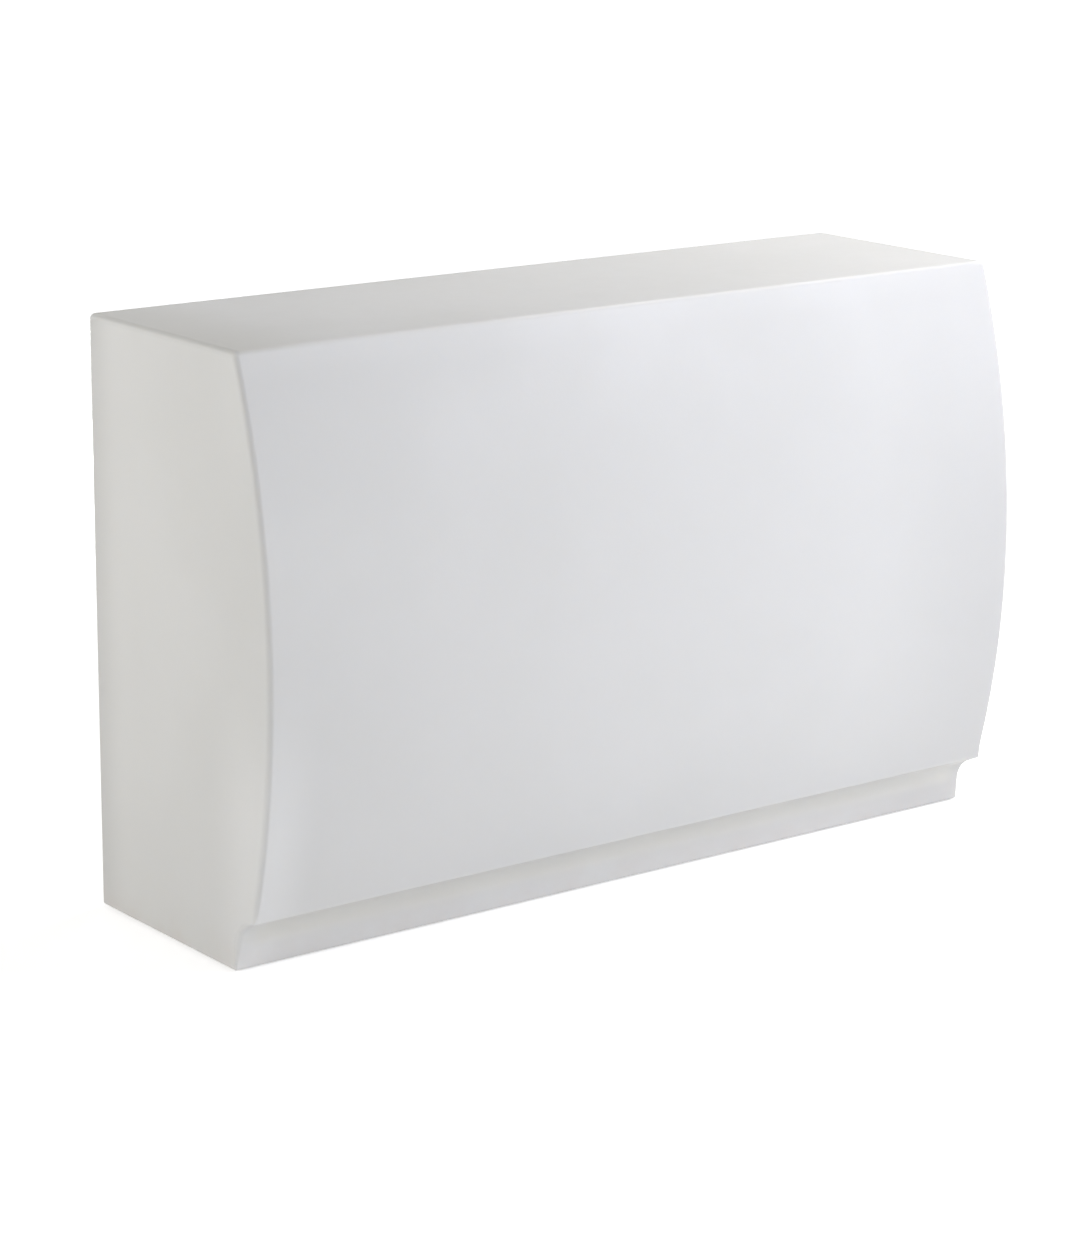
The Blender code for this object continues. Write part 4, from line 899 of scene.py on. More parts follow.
def painted_light_and_shade(nodes):
    """Masks of painted light and painted shade on the body. Painted light: along the near end's
    lower
    edges and under the top. Painted shade: at each end's back edge, and towards the far end."""
    across, depth, height = nodes.parts(nodes.place)
    side = nodes.math("ABSOLUTE", across)
    on_end = nodes.spread(side, *END_FACE)
    below_top = nodes.spread(height, *UNDER_TOP)
    front = nodes.times(nodes.spread(depth, *FRONT_SIDE), below_top)
    front_face = nodes.times(front, nodes.spread(side, *LONG_FACE))
    low = nodes.spread(height, *LOWER_PART)
    high = nodes.spread(height, *UPPER_PART, 0.0, 0.4)
    beside_end = nodes.times(nodes.spread(across, *BESIDE_NEAR_END), low)
    along_top = nodes.spread(height, *NEAR_TOP, 0.0, 0.30)
    pale_front = nodes.times(front_face, nodes.math("MAXIMUM", beside_end, along_top))
    to_front = nodes.times(nodes.spread(depth, *FRONT_PART), nodes.math("MAXIMUM", low, high))
    pale = nodes.math("MAXIMUM", pale_front, nodes.times(on_end, to_front))
    to_back = nodes.math("POWER", nodes.spread(depth, *BACK_EDGE), 2.0)
    painted_back_shade = nodes.times(to_back, on_end)
    to_far_end = nodes.spread(across, *TOWARDS_FAR_END)
    painted_far_shade = nodes.times(to_far_end, nodes.spread(height, *TOWARDS_FOOT, 0.35, 1.0))
    return pale, painted_back_shade, nodes.times(painted_far_shade, front)


def near_end_painted_light_and_shade(nodes):
    """Masks at the near end: painted shade on the bar top's tip, and painted light on the rounded
    edges over the end and beside the plinth."""
    across, depth, height = nodes.parts(nodes.place)
    on_top = nodes.spread(height, *ON_TOP)
    tip = nodes.times(on_top, nodes.spread(across, *NEAR_TIP))
    over_end = nodes.spread(across, *NEAR_EDGE)
    upper = nodes.times(over_end, nodes.spread(height, *TOP_EDGE))
    band = nodes.times(over_end, nodes.spread(across, *NEAR_ARRIS))
    below_ledge = nodes.spread(height, *UNDER_LEDGE)
    lower = nodes.times(band, nodes.times(below_ledge, nodes.spread(depth, *FRONT_SIDE)))
    return tip, nodes.math("MAXIMUM", nodes.times(upper, 0.6), lower)


def cove_light_and_foot_marks(nodes):
    """Masks of the warm painted light in the cove, and of the foot: partly rubbed, partly painted
    bounce.
    """
    depth, height = nodes.part(nodes.place, 1), nodes.part(nodes.place, 2)
    side = nodes.math("ABSOLUTE", nodes.part(nodes.place, 0))
    over = nodes.spread(height, *OVER_COVE)
    under = nodes.spread(height, *UNDER_LEDGE)
    before = nodes.spread(depth, *FRONT_SIDE)
    cove = nodes.times(over, under, before)
    cove = nodes.times(cove, nodes.spread(side, *AWAY_FROM_ENDS))
    patches = nodes.cloudy(9.0, 4.0, 0.30, 0.65)
    # Foot mask: partly rubbing, partly painted floor bounce
    foot = nodes.times(nodes.spread(height, *AT_FOOT), patches)
    return cove, foot


def opal_polyethylene(name, shown):
    """Translucent white, slightly cloudy, satin from the mould, with a few hairline scuffs."""
    nodes, colours = Finish(name, shown, 0.46), bpy.context.scene.counter_colours
    skin = nodes.effect("Moulded skin", grain=520.0, cloud=2.4)
    scuff = nodes.effect("Scuffs", "Mask", scale=9.0, density=0.30)
    dust = nodes.effect("Settled dust", "Mask", amount=0.05)
    clouds = nodes.times(skin["Cloudiness"], 0.5)
    tone = nodes.blend(clouds, full(shown), full(colours.body_shade))
    # Painted light, then painted shade at each end's back edge and towards the far end
    for mask, factor in zip(painted_light_and_shade(nodes), (1.12, 0.85, 0.88)):
        tone = nodes.blend(mask, tone, shaded(shown, factor))
    # Painted shade on the top's near tip, painted light on the near end's rounded edges
    tip, edge = near_end_painted_light_and_shade(nodes)
    tone = nodes.blend(tip, tone, full(colours.top_tip_painted_shade))
    tone = nodes.blend(edge, tone, shaded(shown, 1.15))
    cove, foot = cove_light_and_foot_marks(nodes)
    # Painted light in the cove
    tone = nodes.blend(nodes.times(cove, 0.8), tone, full(colours.cove_painted_light))
    # The foot's warm tone: partly rubbing, partly painted floor bounce
    tone = nodes.blend(nodes.times(foot, 0.30), tone, full(colours.foot_wear_and_painted_bounce))
    tone = nodes.blend(dust, tone, full(colours.dust))
    nodes.give({"Base Color": nodes.blend(nodes.times(scuff, 0.10), tone, shaded(shown, 0.88))})
    base = nodes.spread(skin["Cloudiness"], 0.0, 1.0, 0.42, 0.50)
    nodes.give({"Roughness": nodes.plus(base, nodes.times(scuff, 0.12))})
    nodes.bump(skin["Height"], 0.22, 0.0006)
    nodes.give({
        "Subsurface Weight": 0.35,
        "Subsurface Radius": (1.0, 0.92, 0.82),
        "Subsurface Scale": 0.012,
        "Specular IOR Level": 0.40,
        "IOR": 1.51,
    })
    return nodes.material


def rolled_metal(name, shown, roughness, fineness, contrast):
    """Sheet metal with lines along its length, uneven streaks and small polished edges."""
    nodes = Finish(name, shown, roughness, 1.0)
    brushed = nodes.effect("Brushed lines", fineness=fineness)
    scuff = nodes.effect("Scuffs", "Mask", scale=30.0, density=0.4)
    wear = nodes.effect("Edge wear", "Mask", width=0.0005)
    tone = nodes.blend(brushed["Streaks"], shaded(shown, 1.0 - contrast), full(shown))
    nodes.give({"Base Color": nodes.blend(nodes.times(wear, 0.5), tone, shaded(shown, 1.25))})
    lines = nodes.spread(brushed["Lines"], 0.3, 0.7, roughness - 0.07, roughness + 0.09)
    nodes.give({"Roughness": nodes.plus(lines, nodes.times(scuff, 0.12))})
    nodes.bump(brushed["Lines"], 0.25, 0.0001)
    return nodes.material


def plated_steel(name, shown):
    """Zinc plating: cool grey with a cloudy bloom, brighter where it is handled."""
    nodes, colours = Finish(name, shown, 0.34, 1.0), bpy.context.scene.counter_colours
    bloom = nodes.cloudy(260.0, 4.0, 0.35, 0.65)
    wear = nodes.effect("Edge wear", "Mask", width=0.0003, breaks=900.0)
    tone = nodes.blend(bloom, full(shown), full(colours.zinc_bloom))
    nodes.give({"Base Color": nodes.blend(wear, tone, full(colours.zinc_worn))})
    nodes.give({"Roughness": nodes.spread(bloom, 0.0, 1.0, 0.27, 0.44)})
    nodes.bump(nodes.noise(nodes.place, 2600.0, 2.0), 0.12, 0.0001)
    return nodes.material


def white_laminate(name, shown):
    """Satin white laminate whose dark core shows where the sheet's edge is cut."""
    nodes, core = Finish(name, shown, 0.36), bpy.context.scene.counter_colours.core
    low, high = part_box("hatch_cover")
    skin = nodes.effect("Moulded skin", grain=1400.0, cloud=6.0)
    scuff = nodes.effect("Scuffs", "Mask", scale=22.0, density=0.4)
    depth = nodes.part(nodes.place, 1)
    face = nodes.math("GREATER_THAN", depth, high.y - EDGE_REACH)
    back = nodes.math("LESS_THAN", depth, low.y + EDGE_REACH)
    outside = nodes.math("MAXIMUM", face, back)
    white = nodes.blend(nodes.times(skin["Cloudiness"], 0.3), full(shown), shaded(shown, 0.94))
    nodes.give({"Base Color": nodes.blend(outside, full(core), white)})
    smooth = nodes.plus(nodes.times(scuff, 0.15), 0.34)
    edge = nodes.times(nodes.minus(1.0, outside), 0.25)
    nodes.give({"Roughness": nodes.plus(smooth, edge)})
    nodes.bump(skin["Height"], 0.15, 0.0002)
    return nodes.material


def moulded_plastic(name, shown, roughness, grain, dust):
    """Fine-grained moulded plastic, greyer along its handled edges and dusty on top."""
    nodes, colours = Finish(name, shown, roughness), bpy.context.scene.counter_colours
    skin = nodes.effect("Moulded skin", grain=grain, cloud=30.0)
    wear = nodes.effect("Edge wear", "Mask", width=0.0004, breaks=700.0)
    dust = nodes.effect("Settled dust", "Mask", amount=dust)
    tone = nodes.blend(skin["Cloudiness"], full(shown), shaded(shown, 0.86))
    light = full(channel * 0.6 + 0.12 for channel in shown)
    handled = nodes.blend(nodes.times(wear, 0.45), tone, light)
    nodes.give({"Base Color": nodes.blend(dust, handled, full(colours.plastic_dust))})
    matt = nodes.spread(skin["Cloudiness"], 0.0, 1.0, roughness - 0.05, roughness + 0.07)
    nodes.give({"Roughness": nodes.plus(matt, nodes.times(dust, 0.3))})
    nodes.bump(skin["Height"], 0.30, 0.0002)
    return nodes.material


def black_rubber(name, shown):
    """Matt rubber with a grey bloom and dust."""
    nodes, colours = Finish(name, shown, 0.80), bpy.context.scene.counter_colours
    bloom = nodes.cloudy(120.0, 4.0, 0.4, 0.7)
    dust = nodes.effect("Settled dust", "Mask", amount=0.25)
    tone = nodes.blend(bloom, full(shown), full(colours.rubber_bloom))
    nodes.give({"Base Color": nodes.blend(dust, tone, full(colours.rubber_dust))})
    nodes.give({"Roughness": nodes.spread(bloom, 0.0, 1.0, 0.72, 0.88)})
    nodes.bump(nodes.noise(nodes.place, 1800.0, 3.0), 0.25, 0.0002)
    return nodes.material


def light_board(name, shown):
    """White solder mask with white chips and their yellow phosphor, which faces the front."""
    nodes, colours = Finish(name, shown, 0.40), bpy.context.scene.counter_colours
    low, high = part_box("light_module_1")
    housing = high.y - BOARD_SHEET - FACE_REACH
    chip = nodes.math("LESS_THAN", nodes.part(nodes.place, 1), housing)
    face = nodes.math("LESS_THAN", nodes.part(nodes.place, 1), low.y + FACE_REACH)
    skin = nodes.effect("Moulded skin", grain=1600.0, cloud=18.0)
    mask = nodes.blend(skin["Cloudiness"], full(shown), shaded(shown, 0.93))
    chips = nodes.blend(chip, mask, full(colours.chip))
    nodes.give({"Base Color": nodes.blend(face, chips, full(colours.phosphor))})
    nodes.give({"Roughness": nodes.spread(skin["Cloudiness"], 0.0, 1.0, 0.34, 0.46)})
    nodes.bump(skin["Height"], 0.12, 0.0001)
    return nodes.material


# Each finish: the function that makes it, its colour and its amounts
FINISHES = {
    "Opal polyethylene": (opal_polyethylene, "body", {}),
    "Brushed stainless steel": (
        rolled_metal, "steel", {"roughness": 0.30, "fineness": 1800.0, "contrast": 0.06}
    ),
    "Zinc-plated steel": (plated_steel, "zinc", {}),
    "Aluminium sheet": (
        rolled_metal, "aluminium", {"roughness": 0.40, "fineness": 900.0, "contrast": 0.10}
    ),
    "White laminate": (white_laminate, "laminate", {}),
    "Black rubber": (black_rubber, "rubber", {}),
    "Black polyamide": (
        moulded_plastic, "black_nylon", {"roughness": 0.50, "grain": 2400.0, "dust": 0.35}
    ),
    "Grey polyamide": (
        moulded_plastic, "grey_nylon", {"roughness": 0.46, "grain": 2600.0, "dust": 0.10}
    ),
    "White driver housing": (
        moulded_plastic, "driver", {"roughness": 0.45, "grain": 1800.0, "dust": 0.20}
    ),
    "White circuit board": (light_board, "board", {}),
}


def finish(name):
    """A finish, built once and then shared by name."""
    label = "Counter " + name
    build, shown, amounts = FINISHES[name]
    colours = bpy.context.scene.counter_colours
    return bpy.data.materials.get(label) or build(label, getattr(colours, shown), **amounts)


def dress(node, name):
    """Gives a carried-over node of the frame its finish."""
    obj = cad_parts[node]
    obj.data.materials.clear()
    obj.data.materials.append(finish(name))


# Body


def front_bow(size):
    """The bowed front from the ledge up: a circle through both edges, as deep as the body."""
    rise = size.height - size.ledge_height
    top_gap = size.depth - size.top_depth
    ledge_gap = size.depth - size.ledge_depth
    free = rise**2 - ledge_gap * top_gap + ledge_gap**2
    above = free / (rise + math.sqrt(rise**2 - (1 - ledge_gap / top_gap) * free))
    radius = (above**2 + top_gap**2) / (2 * top_gap)
    centre = (size.back - size.depth + radius, size.height - above)
    low = math.pi + math.asin((rise - above) / radius)
    high = math.pi - math.asin(above / radius)
    return arc(centre, radius, low, high, size.bow_steps)


def cove(size):
    """The hollow curve that joins the sloping underside of the ledge to the leaning plinth."""
    foot = Vector((size.back - size.plinth_depth, size.lift))
    ledge = Vector((size.back - size.ledge_depth, size.ledge_height))
    up = Vector((-math.sin(size.plinth_lean), math.cos(size.plinth_lean)))
    inward = Vector((math.cos(size.ledge_slope), -math.sin(size.ledge_slope)))
    reach = (ledge - foot).cross(inward) / up.cross(inward)
    return rounded_corner(foot, foot + up * reach, ledge, size.cove_radius, 2 * size.edge_steps)


def side_corners(size):
    """The side view as (y, z, radius of the edge there)."""
    bow = front_bow(size)
    corners = [(size.back, size.lift, size.base_radius)]
    corners.append((size.back - size.plinth_depth, size.lift, size.base_radius))
    corners += [(y, z, 0.0) for y, z in cove(size)]
    corners.append((*bow[0], size.ledge_radius))
    corners += [(y, z, 0.0) for y, z in bow[1:-1]]
    corners.append((*bow[-1], size.edge_radius))
    corners.append((size.back, size.height, size.edge_radius))
    return corners


def inward_shift(before, here, after):
    """The move that shifts both lines at a corner inwards by one unit."""
    arrive = (here - before).normalized()
    leave = (after - here).normalized()
    one = Vector((arrive.y, -arrive.x))
    two = Vector((leave.y, -leave.x))
    return (one + two) / (1 + one.dot(two))


def moved_in(corners, distance):
    """The side view moved inwards, with its radii made smaller by the same amount."""
    moved = []
    for i, (y, z, radius) in enumerate(corners):
        here, after = Vector((y, z)), corners[(i + 1) % len(corners)]
        shift = inward_shift(Vector(corners[i - 1][:2]), here, Vector(after[:2]))
        moved.append((*(here + shift * distance), max(radius - distance, 0.0)))
    return moved


def rounded_side(corners, steps):
    """The side view with each edge turned into an arc, as (y, z, limit for the end's radius)."""
    points = []
    for i, (y, z, radius) in enumerate(corners):
        if radius <= 0.0:
            points.append((y, z, None))
            continue
        before, after = corners[i - 1][:2], corners[(i + 1) % len(corners)][:2]
        curve = rounded_corner(before, (y, z), after, radius, steps)
        points += [(*point, radius) for point in curve]
    return points


def drawn_form(name, corners, length, end_radius, steps, material=None):
    """The side view drawn out along X, its ends rounded, more tightly beside a tight edge."""
    points = rounded_side(corners, steps)
    tight = [(Vector(point[:2]), point[2]) for point in points if point[2] is not None]
    mesh = bpy.data.meshes.new(name)
    mesh.from_pydata([(y, z, 0.0) for y, z, _ in points], [], [tuple(range(len(points)))])
    mesh.attributes.new("inset", "FLOAT_VECTOR", "POINT")
    mesh.attributes.new("end_radius", "FLOAT", "POINT")
    inset = mesh.attributes["inset"]
    radius = mesh.attributes["end_radius"]
    for i in range(len(points)):
        here = Vector(points[i][:2])
        after = points[(i + 1) % len(points)]
        shift = inward_shift(Vector(points[i - 1][:2]), here, Vector(after[:2]))
        inset.data[i].vector = (*shift, 0.0)
        limit = min(own + END_GROWTH * (here - place).length for place, own in tight)
        radius.data[i].value = max(min(end_radius, limit), SEAT)
    obj = placed(name, mesh)
    tree = bpy.data.node_groups.get("Drawn body") or drawn_body_tree()
    mesh = grown(obj, tree, length=length, steps=steps, material=material)
    return turned_outwards(mesh, WELD)


def bay_ring(size, y, grow):
    """The bay's section at one depth, grown by an amount on every side."""
    inset = (size.back - y) * math.tan(size.bay_draft) - grow
    low, high = size.bay_floor, size.height - size.bay_roof
    width = size.length - 2 * (size.bay_side + inset)
    corner = max(size.bay_corner + grow, size.wall)
    outline = rounded_rectangle(width, high - low - 2 * inset, corner, 8, (0.0, (low + high) / 2))
    return [(x, y, z) for x, z in outline]


def bay_form(size, name, grow, steps=8):
    """The bay as a solid: a fillet at the back wall, drafted sides and a rolled mouth."""
    rings = []
    inner, fillet = size.back - size.bay_depth, size.bay_fillet
    for i in range(steps + 1):
        angle = math.pi / 2 * i / steps
        y = inner + fillet - (fillet + grow) * math.cos(angle)
        rings.append(bay_ring(size, y, (fillet + grow) * math.sin(angle) - fillet))
    roll = math.radians(82)
    mouth = size.mouth_radius
    for i in range(steps + 1):
        angle = roll * i / steps
        y = size.back - mouth + (mouth - grow) * math.sin(angle)
        rings.append(bay_ring(size, y, mouth - (mouth - grow) * math.cos(angle)))
    flare = OVERCUT * math.tan(roll)
    rings.append(bay_ring(size, size.back + OVERCUT, mouth + flare))
    return placed(name, loft(name, rings))


def runner_form(size, name, level, grow):
    """The ridge round three sides of the bay that a shelf rests on, shrunk by the amount grow."""
    inner = size.back - size.bay_depth
    low, high = level - size.runner_height + grow, level - grow
    front, back = inner - size.bay_fillet, size.back - size.runner_setback - grow
    nose = max(size.runner_round - grow, SEAT)
    outline = [(front, high), (front, low)]
    outline += rounded_corner((front, low), (back, low), (back, high), nose, 6)
    outline += rounded_corner((back, low), (back, high), (front, high), nose, 6)
    end = size.length / 2
    ridge = placed(name, loft(name, [[(x, y, z) for y, z in outline] for x in (-end, end)]))
    slope = (size.runner_width - size.runner_toe) / size.runner_height
    half = end - size.bay_side - size.bay_depth * math.tan(size.bay_draft)
    rings = []
    for z in (low - OVERCUT, high + OVERCUT):
        reach = size.runner_width - slope * (level - z) - grow
        near, far = inner + reach, size.back + OVERCUT
        width, centre = 2 * (half - reach), (0.0, (near + far) / 2)
        box = rounded_rectangle(width, far - near, size.bay_fillet, 8, centre)
        rings.append([(x, y, z) for x, y in box])
    hole = placed(name + " opening", loft(name + " opening", rings))
    return placed(name, taken_mesh(cut(ridge, hole), hole))


def bay_with_runners(size, shelves, name, grow):
    bay = bay_form(size, name, grow)
    levels = (shelves.lower, shelves.upper)
    ridges = [runner_form(size, name + " runner", level, grow) for level in levels]
    return placed(name, taken_mesh(cut(bay, *ridges), *ridges))


def hatch_outline(hatch, grow, steps=8):
    width, height = hatch.length + 2 * grow, hatch.height + 2 * grow
    return rounded_rectangle(width, height, hatch.corner + grow, steps)


def head_seat(height, node):
    """Where the head of a screw or rivet bears, from its place in the frame."""
    low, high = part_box(node)
    return Vector(((low.x + high.x) / 2, high.y - height, (low.z + high.z) / 2))


def screw_place(size, screw):
    return head_seat(size.head_height, screw)


def body_cutters(scene):
    """What comes out of the hollow, so that a wall stays round it, and what opens the body."""
    size, feet, fasteners = scene.counter_body, scene.counter_feet, scene.counter_fasteners
    walls = [bay_with_runners(size, scene.counter_shelves, "Bay wall", size.wall)]
    openings = []
    roof = size.lift + feet.pocket_depth
    pocket, insert, shank = feet.pocket_radius, feet.insert_radius, fasteners.shank_radius
    for name in FEET:
        place = middle_of("foot_pad_" + name)
        place.z = 0.0
        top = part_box("foot_stem_" + name)[1].z + feet.chamfer
        wide = pocket + size.wall
        walls.append(rod("Pocket wall", wide, 0.0, roof + size.wall, place, sides=32))
        walls.append(rod("Foot boss", insert + FOOT_BOSS, roof, top + FOOT_BOSS, place, sides=32))
        openings.append(rod("Pocket", pocket, -OVERCUT, roof, place, sides=96))
        openings.append(rod("Foot bore", insert + SEAT, size.lift, top, place, sides=48))
    bay_wall, runner_end = size.back - size.bay_depth, size.back - size.runner_setback
    long, short = fasteners.hatch_length, fasteners.shelf_length
    grip = long - (screw_place(fasteners, HATCH_SCREWS[0]).y - bay_wall)
    rows = ((HATCH_SCREWS, long, grip, bay_wall), (SHELF_SCREWS, short, short, runner_end))
    for screws, length, grip, face in rows:
        for screw in screws:
            place = screw_place(fasteners, screw)
            bore = rod("Bore", shank + SEAT, -length - SEAT, OVERCUT, place, "Y", 24)
            openings.append(bore)
            place.y = face
            low, high = -grip - BOSS_CAP, -size.wall / 2
            walls.append(rod("Screw boss", shank + SCREW_BOSS, low, high, place, "Y", 24))
    middle = middle_of("hatch_cover")
    outline = hatch_outline(scene.counter_hatch, 0.0)
    ends = (middle.y - HATCH_CUT, middle.y + HATCH_CUT)
    rings = [[(x, y, middle.z + z) for x, z in outline] for y in ends]
    openings.append(placed("Hatch opening", loft("Hatch opening", rings)))
    place = middle_of("vent_plug")
    place.z = size.lift
    vent = feet.vent_radius + SEAT
    openings.append(rod("Vent hole", vent, -OVERCUT, size.wall + OVERCUT, place))
    return walls, openings


class COUNTER_OT_make_body(Operator):
    """Makes the moulded body with its service bay, runners, pockets and openings"""

    bl_idname = "counter.make_body"
    bl_label = "Body"

    def execute(self, context):
        scene = context.scene
        size, shelves = scene.counter_body, scene.counter_shelves
        opal = finish("Opal polyethylene")
        corners, steps = side_corners(size), size.edge_steps
        outer = drawn_form("Outer skin", corners, size.length, size.edge_radius, steps, opal)
        corners = moved_in(corners, size.wall)
        length, radius = size.length - 2 * size.wall, size.edge_radius - size.wall
        inner = drawn_form("Hollow", corners, length, radius, HOLLOW_STEPS)
        walls, openings = body_cutters(scene)
        hollow = cut(placed("Hollow", inner), *walls)
        hollow = placed("Hollow", taken_mesh(hollow, *walls))
        bay = bay_with_runners(size, shelves, "Bay", 0.0)
        shell = cut(placed("Body", outer), bay, hollow, *openings)
        mesh = taken_mesh(shell, bay, hollow, *openings)
        slot, node = "body_polyethylene", "counter_shell"
        settle("moulded_body", mesh, opal, "root", slot, node, crisp=BODY_CRISP)
        even_normals(mesh)
        return {"FINISHED"}


# Shelves


def shelf_sheet(size, shelves, level):
    """The folded sheet in full length: hem, nose, floor and upstand."""
    nose = size.back - size.runner_setback + SEAT
    wall = size.back - size.bay_depth + shelves.clearance + shelves.sheet
    floor = level + SEAT
    hem = level - size.runner_height - shelves.nose_drop
    corners = [(nose - shelves.hem, hem), (nose, hem), (nose, floor), (wall, floor)]
    corners.append((wall, level + shelves.upstand))
    profile = rounded_profile(corners, shelves.bend, shelves.bend_steps)
    mesh = bpy.data.meshes.new("Sheet")
    end = size.length / 2
    points = [(x, y, z) for x in (-end, end) for y, z in profile]
    row = len(profile)
    mesh.from_pydata(points, [], [(i, i + row, i + row + 1, i + 1) for i in range(row - 1)])
    sheet = placed("Sheet", mesh)
    solidify = sheet.modifiers.new("Sheet", "SOLIDIFY")
    solidify.thickness = shelves.sheet
    solidify.offset = -1
    solidify.use_even_offset = True
    return sheet


class COUNTER_OT_make_shelves(Operator):
    """Folds the two steel shelves and trims them to the bay"""

    bl_idname = "counter.make_shelves"
    bl_label = "Shelves"

    def execute(self, context):
        scene = context.scene
        size, shelves = scene.counter_body, scene.counter_shelves
        fasteners = scene.counter_fasteners
        for name, level in (("lower", shelves.lower), ("upper", shelves.upper)):
            sheet = shelf_sheet(size, shelves, level)
            space = bay_form(size, "Shelf space", -shelves.clearance)
            trim = sheet.modifiers.new("Trim", "BOOLEAN")
            trim.operation = "INTERSECT"
            trim.object = space
            holes = []
            for screw in (f"shelf_{name}_screw_1", f"shelf_{name}_screw_2"):
                place = screw_place(fasteners, screw)
                holes.append(rod("Hole", fasteners.hole_radius, -OVERCUT, OVERCUT, place, "Y", 32))
            mesh = taken_mesh(cut(sheet, *holes), space, *holes)
            node = "shelf_" + name
            steel = finish("Brushed stainless steel")
            settle(node + "_sheet", mesh, steel, "root", "shelf_steel", node, crisp=30)
        return {"FINISHED"}


# Fasteners


def button_screw(size, length):
    """A button-head screw along Z, its bearing face at the origin and its head above."""
    dome = arc((0.0, 0.0), 1.0, 0.0, math.pi / 2, 7)
    head = [(max(size.head_radius * r, AXIS), size.head_height * z) for r, z in dome]
    radius = size.shank_radius
    shank = [(AXIS, -length), (radius - TIP, -length), (radius, -length + TIP), (radius, 0.0)]
    profile = shank + head
    screw = placed("Screw", turned("Screw", profile, 24))
    low = size.head_height - size.socket_depth
    key = [ring(size.socket / math.sqrt(3), z, 6) for z in (low, low + OVERCUT)]
    socket = placed("Socket", loft("Socket", key))
    return taken_mesh(cut(screw, socket), socket)


def blind_rivet(size, grip):
    """A set blind rivet along Z: low dome with the broken mandrel in its middle, and its tail."""
    dome = arc((0.0, 0.0), 1.0, 0.0, math.radians(66), 5)
    head = [(size.rivet_head_radius * r, size.rivet_head_height * z) for r, z in dome]
    radius, crown = size.rivet_radius, head[-1][1]
    mandrel, tail, low = radius * 0.45, radius * 1.5, -grip - RIVET_TAIL
    head += [(mandrel, crown), (mandrel, crown - MANDREL_DEPTH), (AXIS, crown - MANDREL_DEPTH)]
    shank = [(AXIS, low), (tail, low), (tail, -grip), (radius, -grip), (radius, 0.0)]
    return turned("Rivet", shank + head, 24)


def set_fasteners(name, shape, material, slot, places, nodes, seed):
    """Copies of one fastener on its places, made one piece with Geometry Nodes."""
    template = placed("Fastener", shape)
    points = bpy.data.meshes.new(name)
    points.from_pydata(places, [], [])
    tree = bpy.data.node_groups.get("Fasteners") or fastener_tree()
    mesh = grown(placed(name, points), tree, fastener=template, seed=seed, material=material)
    bpy.data.objects.remove(template)
    return settle(name, mesh, material, "root", slot, *nodes)


class COUNTER_OT_make_fasteners(Operator):
    """Sets the screws of the shelves, hatch and driver, and the rivets of the light tray"""

    bl_idname = "counter.make_fasteners"
    bl_label = "Screws and rivets"

    def execute(self, context):
        size = context.scene.counter_fasteners
        zinc = finish("Zinc-plated steel")
        kinds = (
            ("shelf_screws", SHELF_SCREWS, size.shelf_length),
            ("hatch_screws", HATCH_SCREWS, size.hatch_length),
            ("driver_screws", DRIVER_SCREWS, size.driver_length),
        )
        for name, nodes, length in kinds:
            screw, places = button_screw(size, length), [screw_place(size, n) for n in nodes]
            set_fasteners(name, screw, zinc, "screw_steel", places, nodes, size.seed)
        places = [head_seat(size.rivet_head_height, node) for node in RIVETS]
        low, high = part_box(RIVETS[0])
        rivet = blind_rivet(size, high.y - low.y - size.rivet_head_height - RIVET_TAIL)
        sheet, slot = finish("Aluminium sheet"), "tray_aluminium"
        set_fasteners("tray_rivets", rivet, sheet, slot, places, RIVETS, size.seed)
        return {"FINISHED"}


# Hatch and gland


class COUNTER_OT_make_hatch(Operator):
    """Cuts the laminate cover of the light hatch, with chamfered edges and its holes"""

    bl_idname = "counter.make_hatch"
    bl_label = "Light hatch"

    def execute(self, context):
        scene = context.scene
        hatch, fasteners = scene.counter_hatch, scene.counter_fasteners
        middle = middle_of("hatch_cover")
        curve = bpy.data.curves.new("Cover", "CURVE")
        curve.dimensions = "2D"
        curve.fill_mode = "BOTH"
        curve.bevel_depth = hatch.chamfer
        curve.bevel_resolution = 0
        curve.offset = -hatch.chamfer
        curve.extrude = hatch.sheet / 2 - hatch.chamfer
        radius = fasteners.hole_radius
        holes = [(screw_place(fasteners, screw), radius, 24) for screw in HATCH_SCREWS]
        holes += [(middle_of(rivet), fasteners.rivet_radius + SEAT, 24) for rivet in RIVETS]
        holes.append((middle_of("gland_body"), hatch.thread_radius + SEAT, 48))
        outlines = [hatch_outline(hatch, hatch.lap)]
        for place, radius, sides in holes:
            centre = (place.x - middle.x, place.z - middle.z)
            outlines.append(arc(centre, radius, 0.0, math.tau * (1 - 1 / sides), sides - 1))
        for outline in outlines:
            spline = curve.splines.new("POLY")
            spline.points.add(len(outline) - 1)
            for point, (x, y) in zip(spline.points, outline):
                point.co = (x, y, 0.0, 1.0)
            spline.use_cyclic_u = True
        mesh = turned_outwards(taken_mesh(placed("Cover", curve)))
        mesh.transform(Matrix.Translation(middle) @ Matrix.Rotation(math.pi / 2, 4, "X"))
        white, slot = finish("White laminate"), "hatch_laminate"
        settle("hatch_panel", mesh, white, "root", slot, "hatch_cover", crisp=30)
        return {"FINISHED"}


def gland_piece(name, rows, flats):
    """A closed shape round Z from rows of (radius, height, whether it keeps to the flats)."""
    rings = [ring(radius, z, GLAND_SIDES, flats if flat else None) for radius, z, flat in rows]
    return loft(name, rings, closed=True)


